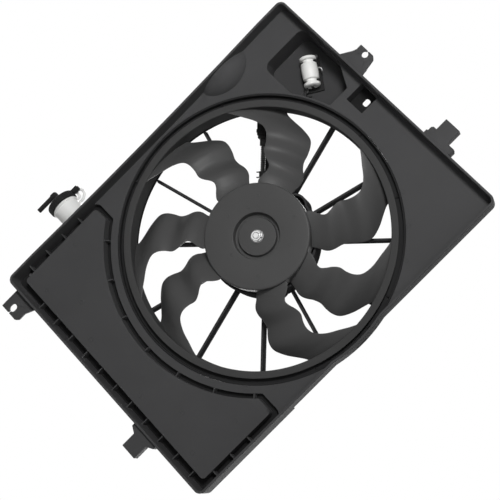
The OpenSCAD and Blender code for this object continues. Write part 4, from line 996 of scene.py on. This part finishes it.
class FAN_OT_lead(bpy.types.Operator):
    """Builds the corrugated conduit and finishes its clips, grommet and connector"""

    bl_idname = "cooling_fan.lead"
    bl_label = "Motor lead"

    def execute(self, context):
        black = plastic("BlackFittings", linear(0.016), rough=0.45, grain=2000, depth=0.15, cloud=0.1, gloss=0.08)
        sleeve = plastic("ConduitSleeve", linear(0.022), rough=0.35, grain=2400, depth=0.1, cloud=0.1, gloss=0.12)
        inner, valley, ridge, start, end, pitch = 1.8, 2.55, 3.4, 45.5, 138.0, 2.5
        ring = moved(turned("ConduitRing", rounded([
            (inner, -1.3, 0), (valley, -1.3, 0), (valley, -0.75, 0.2), (ridge, -0.5, 0.25), (ridge, 0.5, 0.25),
            (valley, 0.75, 0.2), (valley, 1.3, 0), (inner, 1.3, 0),
        ], 2), steps=32), TO_X)
        count = int((end - start) / pitch)
        first = start + (end - start - (count - 1) * pitch) / 2
        rings = pattern(row_tree(), ring, {"Count": count, "Start": (first * MM, 0, 0), "Step": (pitch * MM, 0, 0), "Material": sleeve})
        dress(add_object("Conduit", moved(rings, LEAD)), sleeve, ROOT_BODY, "conduit", "motor_lead")
        finish_eased(black, 0.3, "black_plastic", ROOT_BODY, "lead_clips")
        self.connector(black)
        finish_eased(plastic("GrommetRubber", linear(0.02), rough=0.6), 0.3, "black_rubber", ROOT_BODY, "lead_grommet")
        finish_eased(plastic("RedLock", (0.30, 0.03, 0.02, 1), rough=0.4), 0.4, "red_plastic", ROOT_BODY, "connector_lock")
        return {"FINISHED"}

    def connector(self, black):
        """The block at the conduit's end: collar, shell with a mouth, keys and a pair of side rails."""
        low, high = 1.45 - 5.4, 1.45 - 5.4 + 11.6
        parts = [
            brick("Collar", (138, -5.5, low), (142.4, 5.5, high - 1), 0.8),
            brick("Shell", (142, -6.5, low), (153, 6.5, high), 0.8),
            brick("Key", (147, -2, high - 0.5), (152, 0, high + 2), 0.5),
        ]
        for y0, y1, z0, z1 in ((-6.5, -4.0, low, high), (4.0, 6.5, low, high), (-6.5, 6.5, low, low + 2.5), (-6.5, 6.5, high - 2.5, high)):
            parts.append(brick("Mouth", (152, y0, z0), (162, y1, z1), 0.5))
        rail = brick("Rail", (143.2, -6.9, -0.5), (151.5, -6.2, 0.5), 0.25)
        parts.append(pattern(row_tree(), rail, {"Count": 3, "Start": (0, 0, (low + 3.0) * MM), "Step": (0, 0, 2.8 * MM), "Material": black}))
        dress(add_object("Connector", moved(merged("Connector", parts), LEAD)), black, ROOT_BODY, "black_plastic", "motor_connector")


class FAN_OT_resistor(bpy.types.Operator):
    """Builds the ceramic ballast resistor on its holder"""

    bl_idname = "cooling_fan.resistor"
    bl_label = "Ballast resistor"

    def execute(self, context):
        ceramic = plastic("Ceramic", linear(settings("fan_finish").ceramic_tone, (1, 1, 0.98)), rough=0.5, grain=900, depth=0.35, cloud=0.05)
        black = plastic("BlackFittings", linear(0.022))
        zinc = metal("ZincPlate", linear(0.52), linear(0.30))
        x, z = RESISTOR_AT
        home = (at(x, RESISTOR_Y, z), lean(RESISTOR_LEAN))
        half = 20.5
        body = turned("Bobbin", rounded([
            (3.1, -half, 0.3), (8.2, -half, 0.8), (11.0, -half + 1.2, 1.2), (11.0, -half + 4.6, 1.0), (7.3, -half + 5.4, 0.8), (7.3, -half + 8.8, 0.8),
            (10.6, -half + 9.8, 1.2), (11.2, 0, 3), (10.6, half - 9.8, 1.2), (7.3, half - 8.8, 0.8), (7.3, half - 5.4, 0.8), (11.0, half - 4.6, 1.0),
            (11.0, half - 1.2, 1.2), (8.2, half, 0.8), (3.1, half, 0.3),
        ], 4), steps=96)
        dress(add_object("ResistorBody", moved(body, *home, TO_X)), ceramic, ROOT_BODY, "ceramic", "resistor_body")
        finish_eased(black, 0.4, "black_plastic", ROOT_BODY, "resistor_holder")
        strap_steel = metal("StrapSteel", linear(0.10), linear(0.04), 0.5, 0.4)
        finish_eased(strap_steel, 0.15, "zinc_steel", ROOT_BODY, "resistor_terminals")
        straps = []
        for side in (-1, 1):
            straps.append(brick("Clip", (-6.5, side * 13.4 - 1.6, -10.6), (2.0, side * 13.4 + 1.6, -6.6), 0.5))
            straps.append(brick("Clip", (-6.5, side * 13.4 - 1.6, 6.6), (-1.0, side * 13.4 + 1.6, 10.0), 0.5))
        wire = ((-1.0, -20.0, 7.0), (-2.0, -22.0, 9.2), (-3.5, -25.5, 10.6), (-5.0, -29.0, 11.0), (-6.0, -30.8, 9.6), (-6.0, -31.6, 4.0))
        straps.append(tube("Lead", wire, 0.9))
        dress(add_object("ResistorClips", moved(merged("ResistorClips", straps), *home, TO_X)), black, ROOT_BODY, "black_plastic")
        hook = ((-2.0, 3.0, -9.8), (-1.0, 3.6, -12.6), (-1.0, 1.8, -15.2), (-2.0, -1.4, -16.0), (-6.5, -2.6, -15.4))
        dress(add_object("ResistorHook", moved(tube("Hook", hook, 0.9), *home, TO_X)), zinc, ROOT_BODY, "zinc_steel")
        return {"FINISHED"}


class FAN_OT_reservoir(bpy.types.Operator):
    """Builds the coolant reservoir and its cap"""

    bl_idname = "cooling_fan.reservoir"
    bl_label = "Coolant reservoir"

    def execute(self, context):
        milk = plastic("NaturalTank", linear(0.76, (1, 1, 0.985)), rough=0.32, grain=700, depth=0.12, cloud=0.04)
        black = plastic("BlackFittings", linear(0.022))
        x, y = NECK_AT
        neck = turned("Neck", rounded([
            (16.2, 183.5, 0), (20.5, 183.5, 0), (18.9, 187.5, 2.5), (18.4, 192.0, 2), (18.4, 233.6, 0.5), (19.8, 234.4, 0.5), (19.8, 236.2, 0.5),
            (18.4, 236.8, 0.5), (18.4, 242.0, 0.8), (16.2, 242.0, 0.8),
        ], 4), steps=128)
        turns = ((-144, 230), (-138, 229.0), (-132.4, 231), (-128.6, 236), (-129.2, 241.4), (-134.5, 243.6), (-136, 239.4), (-137.4, 235.4), (-144, 234.0))
        ear = [tube("Ear", [(px, 66.2, pz) for px, pz in turns], 1.9)]
        lugs = []
        for (lx, lz), side in zip(TANK_LUGS, (1, -1)):
            lugs.append(turned("Lug", rounded([(2.6, 34.0, 0), (7.0, 34.0, 0.6), (7.0, 38.0, 0.6), (2.6, 38.0, 0)], 3), steps=64, centre=(lx, 0, lz)))
            near, far = lz - side * 9.0, lz - side * 3.4
            lugs.append(brick("LugRoot", (lx - 7, 34.0, min(near, far)), (lx + 7, 38.0, max(near, far)), 0.6))
        mesh = merged("ReservoirTank", [self.tank(), moved(neck, at(x, y, 0), TO_Z)] + ear + lugs)
        dress(add_object("ReservoirTank", mesh), milk, ROOT_BODY, "natural_plastic", "reservoir_tank")
        cap = eased("reservoir_cap", 0.5)
        grip = brick("Grip", (20.4, -0.7, 238.3), (21.3, 0.7, 246.3), 0.3)
        grips = pattern(ring_tree(), grip, {"Count": 36, "Centre": (x * MM, y * MM, 0), "Material": black})
        thumb = brick("Thumb", (-139.5, 55.3, 239.2), (-128.2, 62.7, 246.4), 2.0)
        dress(add_object("ReservoirCap", merged("ReservoirCap", [cap, grips, thumb])), black, CAP_BODY, "black_plastic", "reservoir_cap")
        finish_nodes(black, "reservoir_dip_tube")
        return {"FINISHED"}

    def tank(self):
        """The blown tank, with round edges and the pinch seam half way back."""
        front, back, ease, seam = 34.0, 84.0, 5.0, 0.8
        middle = (front + back) / 2
        rings = [(front + ease * (1 - math.cos(a)), ease * (1 - math.sin(a))) for a in (math.pi / 2 * k / 6 for k in range(7))]
        rings += [(middle - 1.6, 0.0), (middle - 0.9, -seam), (middle + 0.9, -seam), (middle + 1.6, 0.0)]
        rings += [(front + back - y, s) for y, s in reversed(rings[:7])]
        points, faces, count = [], [], 0
        for y, shrink in rings:
            outline = self.outline(shrink)
            count = len(outline)
            points += [(px, y, pz) for px, pz in outline]
        for k in range(len(rings) - 1):
            for j in range(count):
                n = (j + 1) % count
                faces.append((k * count + j, k * count + n, (k + 1) * count + n, (k + 1) * count + j))
        last = (len(rings) - 1) * count
        faces += [tuple(range(count)), tuple(range(last, last + count))]
        return mesh_from("Tank", points, faces, 40.0)

    def outline(self, s):
        """The tank's outline, moved inwards by s, with its side that follows the fan ring."""
        left, right, low, high, ring = TANK_LEFT + s, TANK_RIGHT - s, TANK_LOW + s, TANK_HIGH - s, TANK_RING + s
        ease = 7.0 - s

        def corner(x, z, first):
            return [(x + ease * math.cos(math.radians(first - 15 * k)), z + ease * math.sin(math.radians(first - 15 * k))) for k in range(7)]

        start = math.atan2(math.sqrt(ring * ring - right * right), right)
        stop = math.pi + math.asin(-low / ring)
        arc = [start + (stop - start) * k / 64 for k in range(65)]
        return (
            corner(left + ease, high - ease, 180) + corner(right - ease, high - ease, 90)
            + [(ring * math.cos(a), ring * math.sin(a)) for a in arc] + corner(left + ease, low + ease, 270)
        )


OPERATORS = (FAN_OT_mouldings, FAN_OT_fan, FAN_OT_fasteners, FAN_OT_motor, FAN_OT_lead, FAN_OT_resistor, FAN_OT_reservoir, FAN_OT_stage)


class FAN_PT_panel(bpy.types.Panel):
    """Lists the pieces and their settings"""

    bl_idname = "FAN_PT_panel"
    bl_label = "Cooling Fan"
    bl_space_type = "VIEW_3D"
    bl_region_type = "UI"
    bl_category = "Cooling Fan"

    def draw(self, context):
        for operator in OPERATORS:
            self.layout.operator(operator.bl_idname)
        for name in SETTINGS:
            box = self.layout.box()
            group = settings(name)
            for prop in group.bl_rna.properties:
                if prop.identifier not in ("rna_type", "name"):
                    box.prop(group, prop.identifier)


SETTINGS = {"fan_finish": FAN_PG_finish, "fan_view": FAN_PG_view}
CLASSES = tuple(SETTINGS.values()) + OPERATORS + (FAN_PT_panel,)


def register():
    for cls in CLASSES:
        bpy.utils.register_class(cls)
    for name, group in SETTINGS.items():
        setattr(bpy.types.Scene, name, bpy.props.PointerProperty(type=group))


def unregister():
    for name in SETTINGS:
        delattr(bpy.types.Scene, name)
    for cls in reversed(CLASSES):
        bpy.utils.unregister_class(cls)


def main():
    register()
    for operator in OPERATORS:
        group, name = operator.bl_idname.split(".")
        getattr(getattr(bpy.ops, group), name)()


if __name__ == "__main__":
    main()
